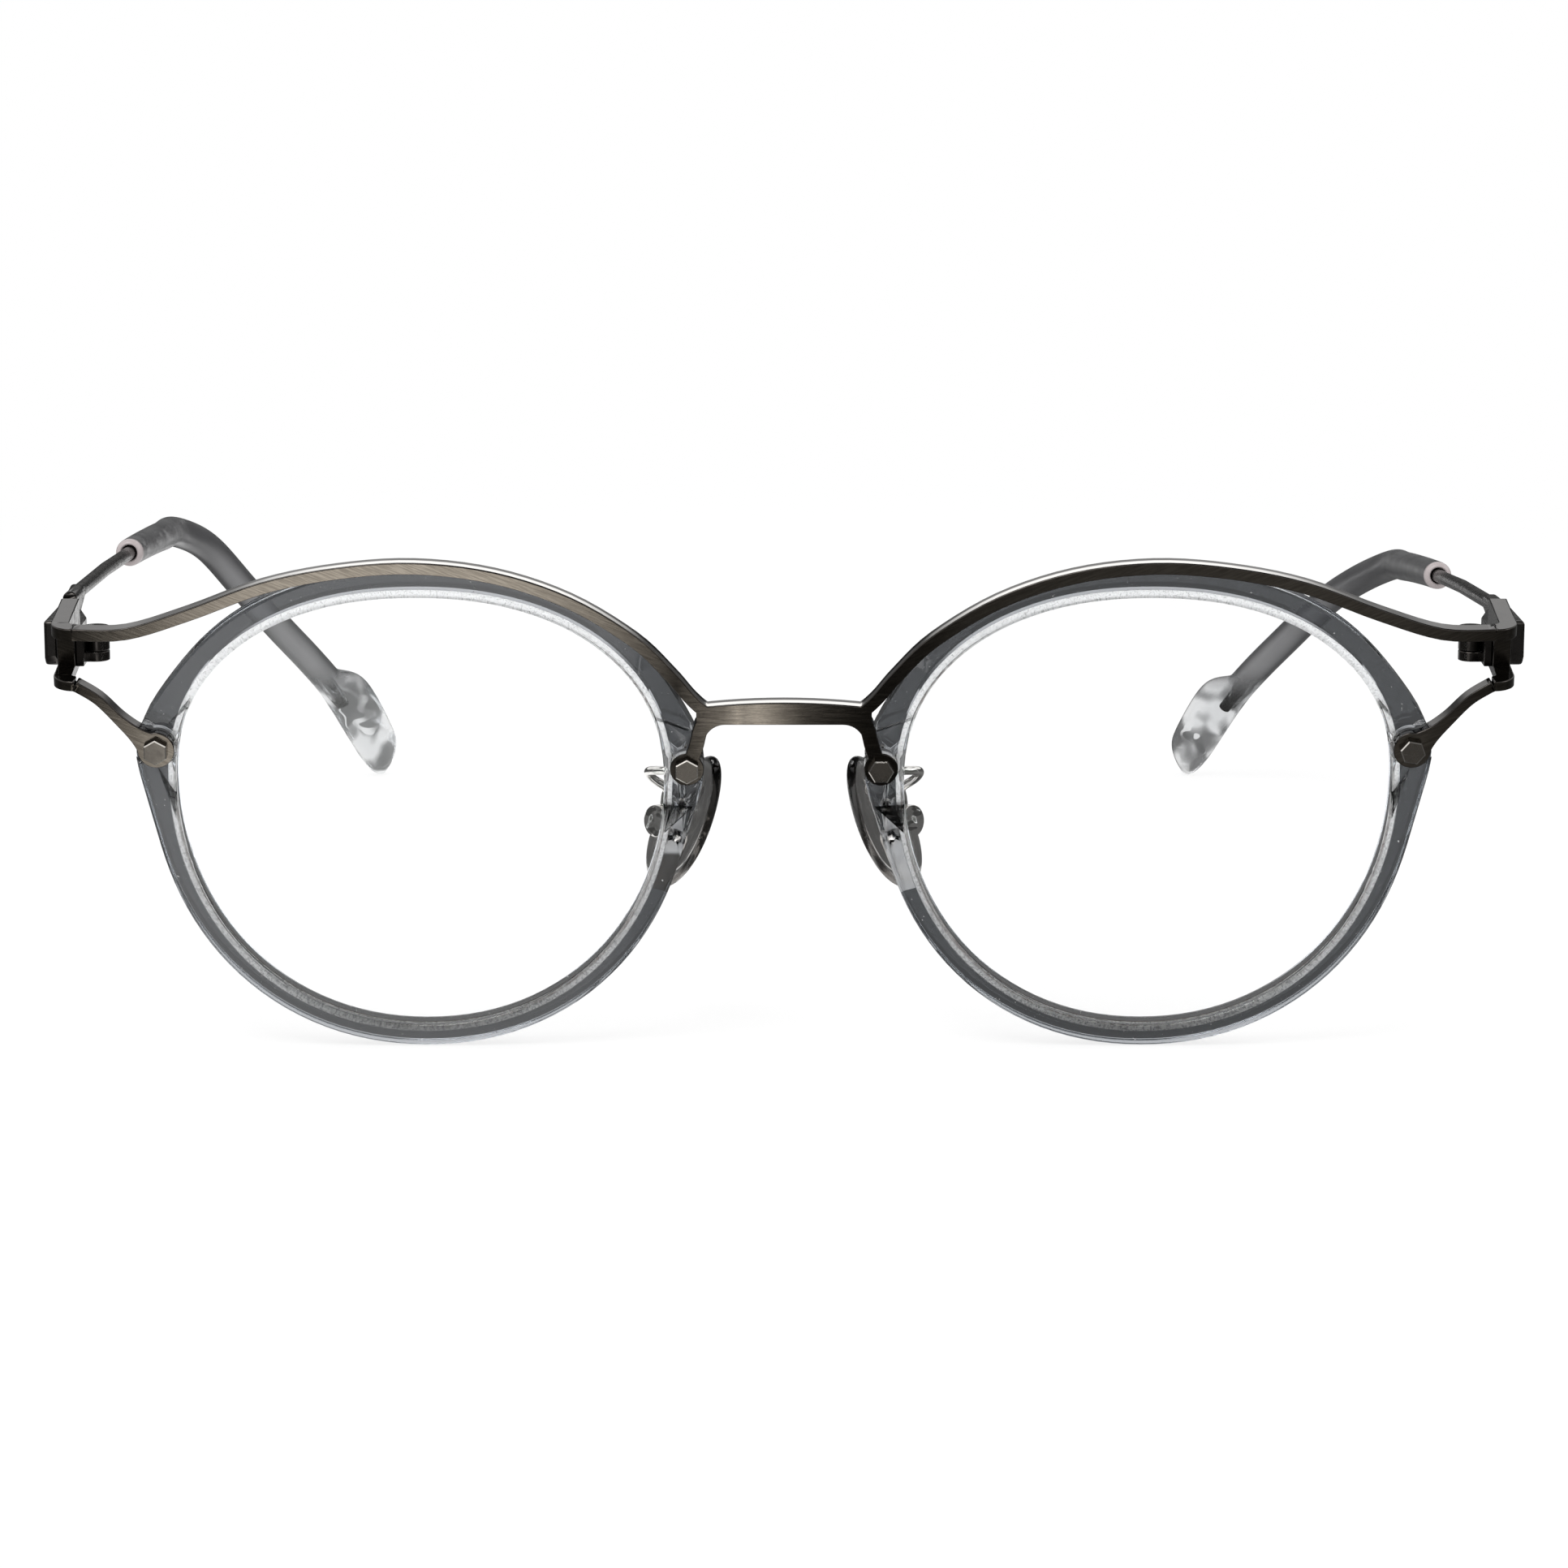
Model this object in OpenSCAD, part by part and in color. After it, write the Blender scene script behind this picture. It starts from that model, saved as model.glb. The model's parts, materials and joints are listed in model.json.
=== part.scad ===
// Round eyeglasses: clear rims hung on a one-piece metal front.
// Millimetres, +Z up, +Y towards the wearer, left and right as seen from the front.
// The glasses stand open on the lower edges of the rims and on the ends of the ear tips.

/* [Lens openings] */
// Width of each lens opening
lens_w = 46.1; // [42:0.1:50]
// Height of the opening above its widest line
lens_up = 18; // [16:0.1:20]
// Height of the opening below its widest line
lens_down = 25.1; // [22:0.1:28]
// Fullness of the upper half, where 2 is an ellipse
full_up = 2.2; // [2:0.05:2.6]
// Fullness of the lower half, where 2 is an ellipse
full_down = 2.1; // [2:0.05:2.6]
// Distance between the two openings over the nose
nose_gap = 22.7; // [20:0.1:26]
// Lean of the top of the front, away from the wearer
front_tilt = 8; // [4:0.5:12]

/* [Rims] */
// Thickness of a rim from front to back
rim_t = 2.4; // [2.2:0.1:3]
// Width of the rim face at the bottom
rim_low_w = 2.1; // [1.8:0.1:3]
// Width of the rim face at the top
rim_top_w = 2.8; // [2.4:0.1:3.4]
// Extra width of the rim around each screw
lug_w = 1.35; // [1:0.05:2]
// Angle over which that extra width fades
lug_spread = 12; // [8:1:18]

/* [Lenses] */
// Thickness of a lens
lens_t = 1.2; // [1:0.1:1.2]
// Radius of the lens curve
lens_curve = 400; // [300:10:600]
// Depth of the lens groove in the rim
groove_d = 0.8; // [0.5:0.1:1]
// Thickness of the rim lip on each side of the groove
groove_lip = 0.5; // [0.4:0.05:0.6]
// Gap between the lens edge and the floor of its groove
lens_fit = 0.05; // [0.02:0.01:0.15]

/* [Metal front] */
// Thickness of the front plate
plate_t = 1.7; // [1.2:0.1:2.2]
// Depth of the pockets that seat the plate in the rims
pocket_d = 0.3; // [0.1:0.05:0.4]
// Gap around the plate in its pockets
pocket_fit = 0.25; // [0.1:0.05:0.4]
// Height of the brow bars
brow_h = 1.15; // [0.9:0.05:1.8]
// Distance of the brow bar's middle line from the top of the opening
brow_gap = 3.35; // [3.1:0.05:3.8]
// Height of the bridge at its middle
bridge_h = 2.2; // [1.6:0.1:3]
// Rise of the bridge's top edge from its ends to its middle
bridge_arch = 0.5; // [0:0.1:1]
// Height of the bridge's lower edge above the widest line
bridge_rise = 6; // [4:0.1:8]
// Width of the ears that drop from the bridge to the nose screws
ear_w = 1.4; // [1.1:0.1:2]
// Width of the side arms
arm_w = 0.95; // [0.8:0.05:1.4]
// Radius of the fillet under the bridge
bridge_fillet = 2; // [0.5:0.1:2]
// Inner radius of the end bends
bend_r = 0.5; // [0.3:0.1:1]
// Distance from the opening's outer edge to the start of the end bend
end_reach = 9; // [8:0.1:12]
// Height of the brow bar's end above the widest line
brow_end_rise = 14.85; // [13:0.1:16]
// Height of the side arm's end above the widest line
arm_end_rise = 9.8; // [9.5:0.1:10.8]
// Length of the end plate that joins the two arms
end_plate_l = 4; // [3:0.1:5]

/* [Rim screws] */
// Angle of the outer screws around the lens
outer_screw_a = 8; // [4:0.5:12]
// Angle of the nose screws around the lens
nose_screw_a = 176.5; // [172:0.5:180]
// Distance of the outer screws from the opening
outer_screw_in = 1.9; // [1.7:0.05:2.2]
// Distance of the nose screws from the opening
nose_screw_in = 2.25; // [2:0.05:2.5]
// Radius of the outer eyelets
outer_eyelet_r = 1.75; // [1.5:0.05:2]
// Radius of the nose eyelets
nose_eyelet_r = 1.6; // [1.4:0.05:1.8]
// Hexagon size across its flats
hex_flats = 2.1; // [1.8:0.1:2.4]
// Height of a hexagon head
hex_h = 0.8; // [0.5:0.1:1.2]
// Radius of the screw shanks
screw_r = 0.55; // [0.4:0.05:0.7]
// Radial clearance of the shanks in the plate and rims
screw_fit = 0.05; // [0.02:0.01:0.1]
// Radius of the nuts
nut_r = 1.25; // [1.1:0.05:1.5]
// Height of the nuts
nut_h = 0.8; // [0.5:0.1:1.2]

/* [Hinges] */
// Distance of the hinge line behind the rims' lowest edge
hinge_back = 2.2; // [1.5:0.1:4]
// Height of the hinge's middle above the widest line
hinge_rise = 11.85; // [11.6:0.05:12.4]
// Distance of the hinge axis inside the end plate's outer face
hinge_in = 3.2; // [3.1:0.1:3.6]
// Radius of the hinge knuckles
knuckle_r = 1.25; // [1:0.05:1.3]
// Height of the whole hinge
hinge_h = 3.3; // [3:0.1:3.8]
// Height of the middle knuckle
mid_knuckle_h = 1.3; // [1:0.1:1.5]
// Clearance between knuckles that turn on each other
knuckle_gap = 0.06; // [0.04:0.01:0.1]
// Radius of the hinge screw
pin_r = 0.5; // [0.4:0.05:0.6]
// Radius of the hinge screw's head
head_r = 0.85; // [0.7:0.05:0.9]
// Depth of the head in the top knuckle
head_h = 0.35; // [0.2:0.05:0.5]
// Running clearance of the hinge screw in the temple's knuckle
pin_fit = 0.04; // [0.02:0.01:0.08]
// Thickness of the leaf on the end plate
front_leaf_t = 0.75; // [0.5:0.05:0.9]
// Length of the leaf on the temple
temple_leaf_l = 9; // [6:0.5:12]
// Clearance around the hinge between the temple and the front
swing_gap = 0.25; // [0.15:0.01:0.3]

/* [Temples] */
// Thickness of the flat front part of a temple
ribbon_t = 1.4; // [1.2:0.05:1.6]
// Height of the flat front part above the hinge's middle
ribbon_up = 2.3; // [2:0.1:3]
// Height of the flat front part below the hinge's middle
ribbon_down = 2.1; // [1.9:0.1:3]
// Length of the flat front part
ribbon_l = 18; // [15:0.5:24]
// Length of the flat front part that keeps its full height
ribbon_neck = 12; // [10:0.5:13]
// Overlap of the flat front part on the outside of the end plate
ribbon_lap = 1.2; // [0.6:0.1:1.5]
// Radius of the temple wire
wire_r = 0.7; // [0.5:0.05:0.8]
// Length from the hinge to the ear bend
temple_reach = 93.8; // [88:0.2:100]
// Height of the ear bend above the table
bend_z = 32.75; // [30:0.25:35]
// Rise of the wire's middle above a straight line
temple_bow = 0.8; // [0:0.1:1.5]
// Amount by which the left bend stands above the middle and the right bend below it
bend_skew = 1.9; // [0:0.1:2]
// Length that the ear tip reaches back from the bend
ear_back = 31; // [24:0.2:32]
// Distance that the ear tip curves inwards from the bend
ear_in = 20.9; // [16:0.1:24]
// Height of the ear tip's end above the table, at the middle of its wire
tip_rest = 0.3; // [0.2:0.05:0.5]

/* [Ear tips] */
// Radius of an ear tip
tip_r = 1.75; // [1.5:0.05:2]
// Radius of the ear tip's front end
tip_front_r = 1.5; // [1.3:0.05:1.5]
// Length from the hinge to the front end of the ear tip
tip_start = 55.4; // [50:0.2:60]
// Clearance of the wire inside the ear tip
core_fit = 0.05; // [0.03:0.01:0.1]
// Width that the paddle gains on its inner side
paddle_bulge = 2.2; // [1:0.1:3]
// Thickness of the paddle
paddle_t = 2.2; // [1.6:0.1:3]
// Length of the rounded lip at the ear tip's front end
lip_l = 0.6; // [0.4:0.1:1]

/* [Nose pads] */
// Length of a nose pad
pad_l = 15.4; // [12:0.2:16]
// Width of a nose pad
pad_w = 6.4; // [6:0.2:8]
// How far a pad sits off the middle of its mount, towards the rim
pad_set = 0.45; // [0:0.05:0.8]
// Thickness of a nose pad
pad_t = 1.8; // [1.4:0.1:2.4]
// Distance of each pad box from the middle of the nose
box_x = 11.8; // [11:0.1:13.5]
// Distance of each pad box behind the back of the rim
box_back = 5.5; // [4.5:0.1:7]
// Height of each pad box below the widest line
box_drop = 5.9; // [5.5:0.1:8]
// Turn of the pads towards the nose
pad_turn = 45; // [35:1:55]
// Splay of the pad boxes' lower ends
pad_splay = 10; // [4:1:16]
// Lean of each pad in its own plane
pad_lean = 20; // [10:1:26]
// Radius of the round pad box
box_r = 1.55; // [1.3:0.05:1.7]
// Depth of the pad box
box_t = 1.8; // [1.6:0.1:2.2]
// Thickness of the lug that sits in the pad box
lug_t = 0.9; // [0.7:0.05:1]
// Clearance on each side of the lug
lug_fit = 0.06; // [0.04:0.01:0.1]
// Radius of the lug around the pad screw
lug_r = 0.55; // [0.45:0.05:0.6]
// Height of the slot for the lug above the pad screw
slot_up = 0.85; // [0.75:0.05:1]
// Thickness of the back wall of the pad box
box_wall = 0.3; // [0.2:0.05:0.4]
// Radius of the disc that is bonded to the pad
disc_r = 1.6; // [1.3:0.1:2]
// Thickness of that disc
disc_t = 0.35; // [0.3:0.05:0.5]
// Radius of the pad screw
pad_screw_r = 0.3; // [0.25:0.01:0.35]
// Running clearance of the pad screw in the lug
pad_screw_fit = 0.04; // [0.02:0.01:0.08]
// Distance from the pad screw to the back of the pad
pad_stand = 1.9; // [1.7:0.1:2.4]
// Radius of the pad arm's wire
arm_wire_r = 0.45; // [0.35:0.05:0.55]
// Solder gap between the wire and what it is fixed to
solder_gap = 0.03; // [0.02:0.01:0.05]
// Distance of the foot's middle line from the opening's widest point
foot_in = 1.65; // [1.5:0.05:1.8]
// Distance of the upper pin below the widest line
foot_drop = 3.2; // [3:0.1:3.6]
// Height of the bar on the back of the rim that carries the pad arm
foot_h = 4; // [3.5:0.1:5]
// Width of that bar
foot_w = 1.1; // [0.9:0.1:1.4]
// Thickness of the foot
foot_t = 0.6; // [0.5:0.1:0.8]
// Length of the wider tongue below the bar
tongue_l = 5; // [3:0.1:6]
// Width of the tongue at its top
tongue_w = 2.8; // [2:0.1:3]
// Narrowing of the tongue towards its lower end
tongue_taper = 0.8; // [0:0.1:1.2]
// Sideways lean of the tongue
tongue_lean = 1.45; // [1:0.05:1.8]
// Sideways lean of the bar
foot_lean = 0.5; // [0:0.1:0.8]
// Radius of the two pins that hold the foot in the rim
foot_pin_r = 0.4; // [0.3:0.05:0.5]
// Depth of the pins in the rim
foot_pin_l = 1.6; // [1:0.1:1.8]

/* [Hidden] */
$fn = 48;
gunmetal = [0.34, 0.31, 0.28];
smoke = [0.33, 0.34, 0.36, 0.75];
chrome = [0.8, 0.8, 0.82];
glass = [0.9, 0.93, 0.95, 0.4];
silicone = [0.75, 0.77, 0.8, 0.6];

// Drills and cutters run on past the face by this much, and threads are drawn as plain fits
cut_over = 1;
thread_fit = 0.01;
thread_share = 0.75;
hex_crown = 0.06;

// Places in the plane of the front: x to the side, z up along the leaning front
steps = 120;
half_w = lens_w / 2;
lens_x = nose_gap / 2 + half_w;
lens_z = rim_low_w + lens_down;
lens_c = [lens_x, lens_z];
outer_screw = around(outer_screw_a, outer_screw_in);
nose_screw = around(nose_screw_a, nose_screw_in);
plate_back = pocket_d;
plate_front = plate_back - plate_t;
bend_x = lens_x + half_w + end_reach;
end_face = bend_x + bend_r + plate_t;
brow_end_z = lens_z + brow_end_rise;
arm_end_z = lens_z + arm_end_rise;
bridge_z = lens_z + bridge_rise;
ear_x = nose_screw[0] - nose_eyelet_r + ear_w / 2;
bridge_top = bridge_z + bridge_h;
bridge_half = ear_x + (ear_w - 1.4) / 2;
arch_steps = 6;
corner_lap = 0.6;
end_l = hinge_back + brow_end_z * sin(front_tilt) + plate_t;
end_plate_y = (hinge_back + arm_end_z * sin(front_tilt)) / cos(front_tilt) - end_plate_l;

// Places in the frame that stands on the table
hinge_x = end_face - hinge_in;
hinge_z = lens_z + hinge_rise;
hinge_low = hinge_z - hinge_h / 2;
end_knuckle_h = (hinge_h - mid_knuckle_h) / 2 - knuckle_gap;
leaf_x = hinge_x + knuckle_r + swing_gap;
leaf_set_back = 0.4;
leaf_end_t = 0.8;
web_lap = 0.2;
ribbon_x = end_face + swing_gap;
wire_inset = 0.02;
wire_x = ribbon_x + ribbon_t - wire_r - wire_inset;
rim_back_y = rim_t * cos(front_tilt) - (lens_z - box_drop) * sin(front_tilt);
box_y = rim_back_y + box_back;
box_z = (lens_z - box_drop) * cos(front_tilt);
pad_n = [-sin(pad_turn), cos(pad_turn), 0];
tip_end_y = hinge_back + temple_reach + ear_back;
brow_top_z = lens_z + lens_up + brow_gap + brow_h / 2;
brow_front_y = plate_front * cos(front_tilt) - brow_top_z * sin(front_tilt);
depth_mid = (tip_end_y + tip_r / 4 + brow_front_y) / 2;

// Radius of the lens opening in direction a, seen from the middle of its widest line
function opening_r(a) = let (
        n = sin(a) >= 0 ? full_up : full_down,
        h = sin(a) >= 0 ? lens_up : lens_down
    ) pow(pow(abs(cos(a)) / half_w, n) + pow(abs(sin(a)) / h, n), -1 / n);

// Point at a gap outside the opening in direction a
function around(a, gap) = lens_c + (opening_r(a) + gap) * [cos(a), sin(a)];
function opening_points(gap) = [for (i = [0 : steps - 1]) around(i * 360 / steps, gap)];

// Width of the rim face, wider where the screws pass
function between(a, b) = abs((a - b + 540) % 360 - 180);
function lug(a, at) = lug_w * exp(-pow(between(a, at) / lug_spread, 2));
function rim_w(a) = rim_low_w + (rim_top_w - rim_low_w) * (1 + sin(a)) / 2
    + lug(a, outer_screw_a) + lug(a, nose_screw_a);
function rim_points() = [for (i = [0 : steps - 1]) let (a = i * 360 / steps) around(a, rim_w(a))];

// Smooth curve through chosen points, with n steps between neighbours
function blend(a, b, c, d, t) = (2 * b + (c - a) * t + (2 * a - 5 * b + 4 * c - d) * t * t
    + (3 * b - 3 * c + d - a) * t * t * t) / 2;
function curve(p, n) = let (last = len(p) - 1) [
        for (i = [0 : last - 1], j = [0 : n - 1])
            blend(p[max(i - 1, 0)], p[i], p[i + 1], p[min(i + 2, last)], j / n),
        p[last]
    ];
function unit(v) = v / norm(v);
function heading(p, i) = unit(p[min(i + 1, len(p) - 1)] - p[max(i - 1, 0)]);

// Brow line as angle around the lens, and how far its gap is over the gap at the top
brow_line = [
    [162, 0.95], [155.5, 0.3], [145, -0.15], [128.5, -0.4], [110, -0.25],
    [90, 0], [71, 0.15], [54, 0.85], [38.5, 2.35]
];
brow_root = [ear_x - 1.2, bridge_top - bridge_arch - brow_h / 2];
brow_lead = [-2.2, -0.1];
brow_flat = [-5, 0.1];
curve_steps = 5;
brow_path = curve([
        brow_root + brow_lead,
        brow_root,
        for (p = brow_line) around(p[0], brow_gap + p[1]),
        [bend_x, brow_end_z] + brow_flat,
        [bend_x, brow_end_z]
    ], curve_steps);

// Bends of the ear, from the bridge's corner to the nose screw
ear_root = [ear_x - 1.4, bridge_z + 0.6];
ear_bend = [ear_x - 0.5, bridge_z - 0.2];
ear_knee = ([ear_x, bridge_z] + nose_screw) / 2 - [0.35, 0.2];
ear_path = curve([for (p = [ear_root, ear_bend, ear_knee, nose_screw]) [p[0], p[1], ear_w]], curve_steps);

// Bends of the side arm, from the outer screw to its end, with the width at each
arm_neck = outer_screw + [1.6, 1.35];
arm_waist = outer_screw + [3.3, 2.95];
arm_knee = [bend_x, arm_end_z] - [2.1, 1.35];
arm_path = curve([
        [outer_screw[0], outer_screw[1], 2 * outer_eyelet_r],
        [arm_neck[0], arm_neck[1], arm_w * 1.8],
        [arm_waist[0], arm_waist[1], arm_w * 1.1],
        [arm_knee[0], arm_knee[1], arm_w],
        [bend_x, arm_end_z, arm_w]
    ], curve_steps);

// Route of a temple's wire: straight with a slight bow to the bend, then round the ear.
// The keys are shares of the straight run, then of the ear's reach inwards, back and down
wire_root = ribbon_neck;
wire_root_up = 1.7;
root_skew = 0.24;
bend_in = 0.33;
tip_share = (tip_start - wire_root) / (temple_reach - wire_root);
straight_keys = [0, tip_share / 2, tip_share, 0.73, 0.88];
ear_keys = [
    [0, 0, 0, 1], [0.13, 0.25, 0.09, 1], [0.29, 0.445, 0.235, 0.5],
    [0.465, 0.62, 0.405, 0.3], [0.735, 0.8, 0.65, 0.2], [1, 1, 1, 0]
];
function wire_keys(skew) = let (
        wire_start = [wire_x, hinge_back + wire_root, hinge_z + wire_root_up + root_skew * skew],
        bend = [wire_x - bend_in, hinge_back + temple_reach, bend_z]
    ) [
        for (k = straight_keys)
            wire_start + k * (bend - wire_start) + [0, 0, k * skew + temple_bow * 4 * k * (1 - k)],
        for (p = ear_keys)
            bend + [-p[0] * ear_in, p[1] * ear_back, -p[2] * (bend_z - tip_rest) + p[3] * skew]
    ];

// Stations along the route, counted in keys: wire, sleeve, core end and paddle
last_key = len(straight_keys) + len(ear_keys) - 1;
tip_key = 2;
kink_key = last_key - 1.12;
core_key = last_key - 0.8;
key_step = 0.3;
wire_sides = 16;
function keys_between(a, b) = let (n = ceil((b - a) / key_step)) [for (i = [0 : n]) a + (b - a) * i / n];
function spot(p, t) = let (last = len(p) - 1, i = min(floor(t), last - 1))
    blend(p[max(i - 1, 0)], p[i], p[i + 1], p[min(i + 2, last)], t - i);
near = 0.05;
function course(p, t) = unit(spot(p, min(t + near, len(p) - 1)) - spot(p, max(t - near, 0)));

// Skin over rings of equal count, closed at both ends
function ring_faces(rings, sides) = [
        for (i = [0 : rings - 2], j = [0 : sides - 1])
            [i * sides + j, (i + 1) * sides + j, i * sides + (j + 1) % sides],
        for (i = [0 : rings - 2], j = [0 : sides - 1])
            [i * sides + (j + 1) % sides, (i + 1) * sides + j, (i + 1) * sides + (j + 1) % sides]
    ];
module skin(rings) {
    sides = len(rings[0]);
    last = len(rings) - 1;
    polyhedron(
        points = [for (r = rings) each r],
        faces = concat(
            ring_faces(len(rings), sides),
            [[for (j = [0 : sides - 1]) j]],
            [[for (j = [sides - 1 : -1 : 0]) last * sides + j]]
        )
    );
}

// One ring around c, square to t: a_out and a_in are its reaches along w, b its reach across
function ring(c, t, ref, a_out, a_in, b, sides) = let (
        w = unit(ref - t * (ref * t)),
        n = cross(t, w)
    ) [
        for (j = [0 : sides - 1]) let (a = j * 360 / sides)
            c + w * cos(a) * (cos(a) > 0 ? a_out : a_in) + n * sin(a) * b
    ];
function tube_rings(p, r, ref, sides) = [
        for (i = [0 : len(p) - 1]) ring(p[i], heading(p, i), ref, r, r, r, sides)
    ];

// Strip of plate along a path of points, with its width given or third in each point
function strip_points(p, w, extra) = let (
        q = [for (v = p) [v[0], v[1]]],
        h = [for (v = p) (is_undef(v[2]) ? w : v[2]) / 2 + extra],
        s = [for (i = [0 : len(q) - 1]) let (t = heading(q, i)) [-t[1], t[0]]]
    ) concat(
        [for (i = [0 : len(q) - 1]) q[i] + s[i] * h[i]],
        [for (i = [len(q) - 1 : -1 : 0]) q[i] - s[i] * h[i]]
    );
module strip(p, w = 1, extra = 0) {
    polygon(strip_points(p, w, extra));
}

// Slab between two depths behind the front plane, from an outline seen from the front
module slab(y0, y1) {
    translate([0, y1, 0])
        rotate([90, 0, 0])
            linear_extrude(y1 - y0) children();
}
module standing() {
    translate([0, -depth_mid, 0]) children();
}
module in_front() {
    standing() rotate([front_tilt, 0, 0]) children();
}
module on_side(side) {
    if (side < 0) mirror([1, 0, 0]) children();
    else children();
}
module rod(at, r, y0, y1) {
    translate([at[0], y1, at[1]]) rotate([90, 0, 0]) cylinder(r = r, h = y1 - y0);
}

// Outline of one half of the front plate where it lies over the rims
module plate_over_rim(extra) {
    strip(brow_path, brow_h, extra);
    strip(arm_path, arm_w, extra);
    strip(ear_path, ear_w, extra);
    translate(outer_screw) circle(outer_eyelet_r + extra);
    translate(nose_screw) circle(nose_eyelet_r + extra);
}
module bridge_outline() {
    polygon([
        [-bridge_half, bridge_z],
        [bridge_half, bridge_z],
        for (i = [arch_steps : -1 : -arch_steps])
            let (share = i / arch_steps) [bridge_half * share, bridge_top - bridge_arch * pow(share, 2)]
    ]);
}
module bridge_corner() {
    translate([ear_x - ear_w / 2 - bridge_fillet, bridge_z - bridge_fillet])
        difference() {
            square(bridge_fillet + corner_lap);
            circle(bridge_fillet);
        }
}
module end_strip(z, h) {
    translate([bend_x, plate_back + bend_r, z - h / 2])
        rotate([0, 0, -90])
            rotate_extrude(angle = 90) translate([bend_r, 0]) square([plate_t, h]);
    translate([bend_x + bend_r, plate_back + bend_r, z - h / 2])
        cube([plate_t, end_l - bend_r, h]);
}
module metal_front() {
    color(gunmetal)
        difference() {
            in_front() {
                slab(plate_front, plate_back) bridge_outline();
                for (side = [-1, 1])
                    on_side(side) {
                        slab(plate_front, plate_back) {
                            plate_over_rim(0);
                            bridge_corner();
                        }
                        end_strip(brow_end_z, brow_h);
                        end_strip(arm_end_z, arm_w);
                        translate([bend_x + bend_r, end_plate_y, arm_end_z])
                            cube([plate_t, end_l - end_plate_y, brow_end_z - arm_end_z]);
                    }
            }
            for (side = [-1, 1])
                in_front() on_side(side) {
                    for (p = [outer_screw, nose_screw])
                        rod(p, screw_r + screw_fit, plate_front - cut_over, plate_back + cut_over);
                }
            standing()
                translate([-2 * end_face, hinge_back - knuckle_gap, 0])
                    cube([4 * end_face, 2 * end_l, 2 * brow_end_z]);
        }
}

// Clear rim with its lens groove, screw holes and the pockets for the plate
module rim(side) {
    color(smoke)
        in_front() on_side(side)
            difference() {
                slab(0, rim_t)
                    difference() {
                        polygon(rim_points());
                        polygon(opening_points(0));
                    }
                slab(groove_lip, rim_t - groove_lip) polygon(opening_points(groove_d));
                slab(-cut_over, pocket_d) plate_over_rim(pocket_fit);
                for (p = [outer_screw, nose_screw])
                    rod(p, screw_r + screw_fit, -cut_over, rim_t + cut_over);
                for (p = foot_pins) rod(p, foot_pin_r, rim_t - foot_pin_l, rim_t + cut_over);
            }
}
module lens(side) {
    mid_z = lens_z + (lens_up - lens_down) / 2;
    rest = norm([half_w, (lens_down + lens_up) / 2]) / sqrt(2) + groove_d;
    sag = lens_curve - sqrt(pow(lens_curve, 2) - pow(rest, 2));
    face = (rim_t - lens_t) / 2 - sag;
    color(glass)
        in_front() on_side(side)
            intersection() {
                slab(-lens_t, rim_t) polygon(opening_points(groove_d - lens_fit));
                difference() {
                    translate([lens_x, face + lens_curve, mid_z]) sphere(lens_curve, $fn = 240);
                    translate([lens_x, face + lens_t + lens_curve, mid_z])
                        sphere(lens_curve, $fn = 240);
                }
            }
}

// Hexagon-head screws and their round nuts
module rim_screw(at, turn, side) {
    head = plate_front - hex_h;
    color(gunmetal)
        in_front() on_side(side) {
            intersection() {
                translate([at[0], plate_front, at[1]])
                    rotate([90, turn, 0])
                        cylinder(r = hex_flats / sqrt(3), h = hex_h, $fn = 6);
                translate([at[0], plate_front, at[1]])
                    rotate([90, 0, 0])
                        cylinder(r1 = hex_flats / sqrt(3) + hex_h, r2 = hex_flats / sqrt(3) - hex_crown, h = hex_h);
            }
            rod(at, screw_r, head + hex_h / 2, rim_t + nut_h * thread_share);
        }
}
module rim_nut(at, side) {
    color(gunmetal)
        in_front() on_side(side)
            difference() {
                rod(at, nut_r, rim_t, rim_t + nut_h);
                rod(at, screw_r + thread_fit, rim_t - cut_over, rim_t + nut_h + cut_over);
            }
}

// Hinge: the front leaf holds the two end knuckles, the temple leaf the middle one
module knuckle(z, h, hole) {
    translate([hinge_x, hinge_back, z])
        difference() {
            cylinder(r = knuckle_r, h = h);
            translate([0, 0, -cut_over]) cylinder(r = hole, h = h + 2 * cut_over);
        }
}
module front_web(z) {
    difference() {
        translate([hinge_x, hinge_back - knuckle_r, z])
            cube([end_face - plate_t - hinge_x, knuckle_r - knuckle_gap, end_knuckle_h]);
        translate([hinge_x, hinge_back, z - cut_over])
            cylinder(r = (knuckle_r + pin_r) / 2, h = end_knuckle_h + 2 * cut_over);
    }
}
module front_hinge(side) {
    top = hinge_low + hinge_h - end_knuckle_h;
    leaf_l = end_plate_l * cos(front_tilt) - leaf_set_back;
    inner = end_face - plate_t;
    color(gunmetal)
        standing() on_side(side) {
            difference() {
                for (z = [hinge_low, top]) {
                    knuckle(z, end_knuckle_h, pin_r + thread_fit);
                    front_web(z);
                }
                translate([hinge_x, hinge_back, hinge_low + hinge_h - head_h])
                    cylinder(r = head_r + thread_fit, h = head_h + cut_over);
            }
            translate([inner - front_leaf_t, hinge_back - leaf_l, hinge_low])
                difference() {
                    cube([front_leaf_t, leaf_l - knuckle_gap, hinge_h]);
                    translate([-cut_over, leaf_l - knuckle_r - swing_gap, end_knuckle_h])
                        cube([front_leaf_t + 2 * cut_over, knuckle_r + swing_gap, hinge_h - 2 * end_knuckle_h]);
                }
        }
}
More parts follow.
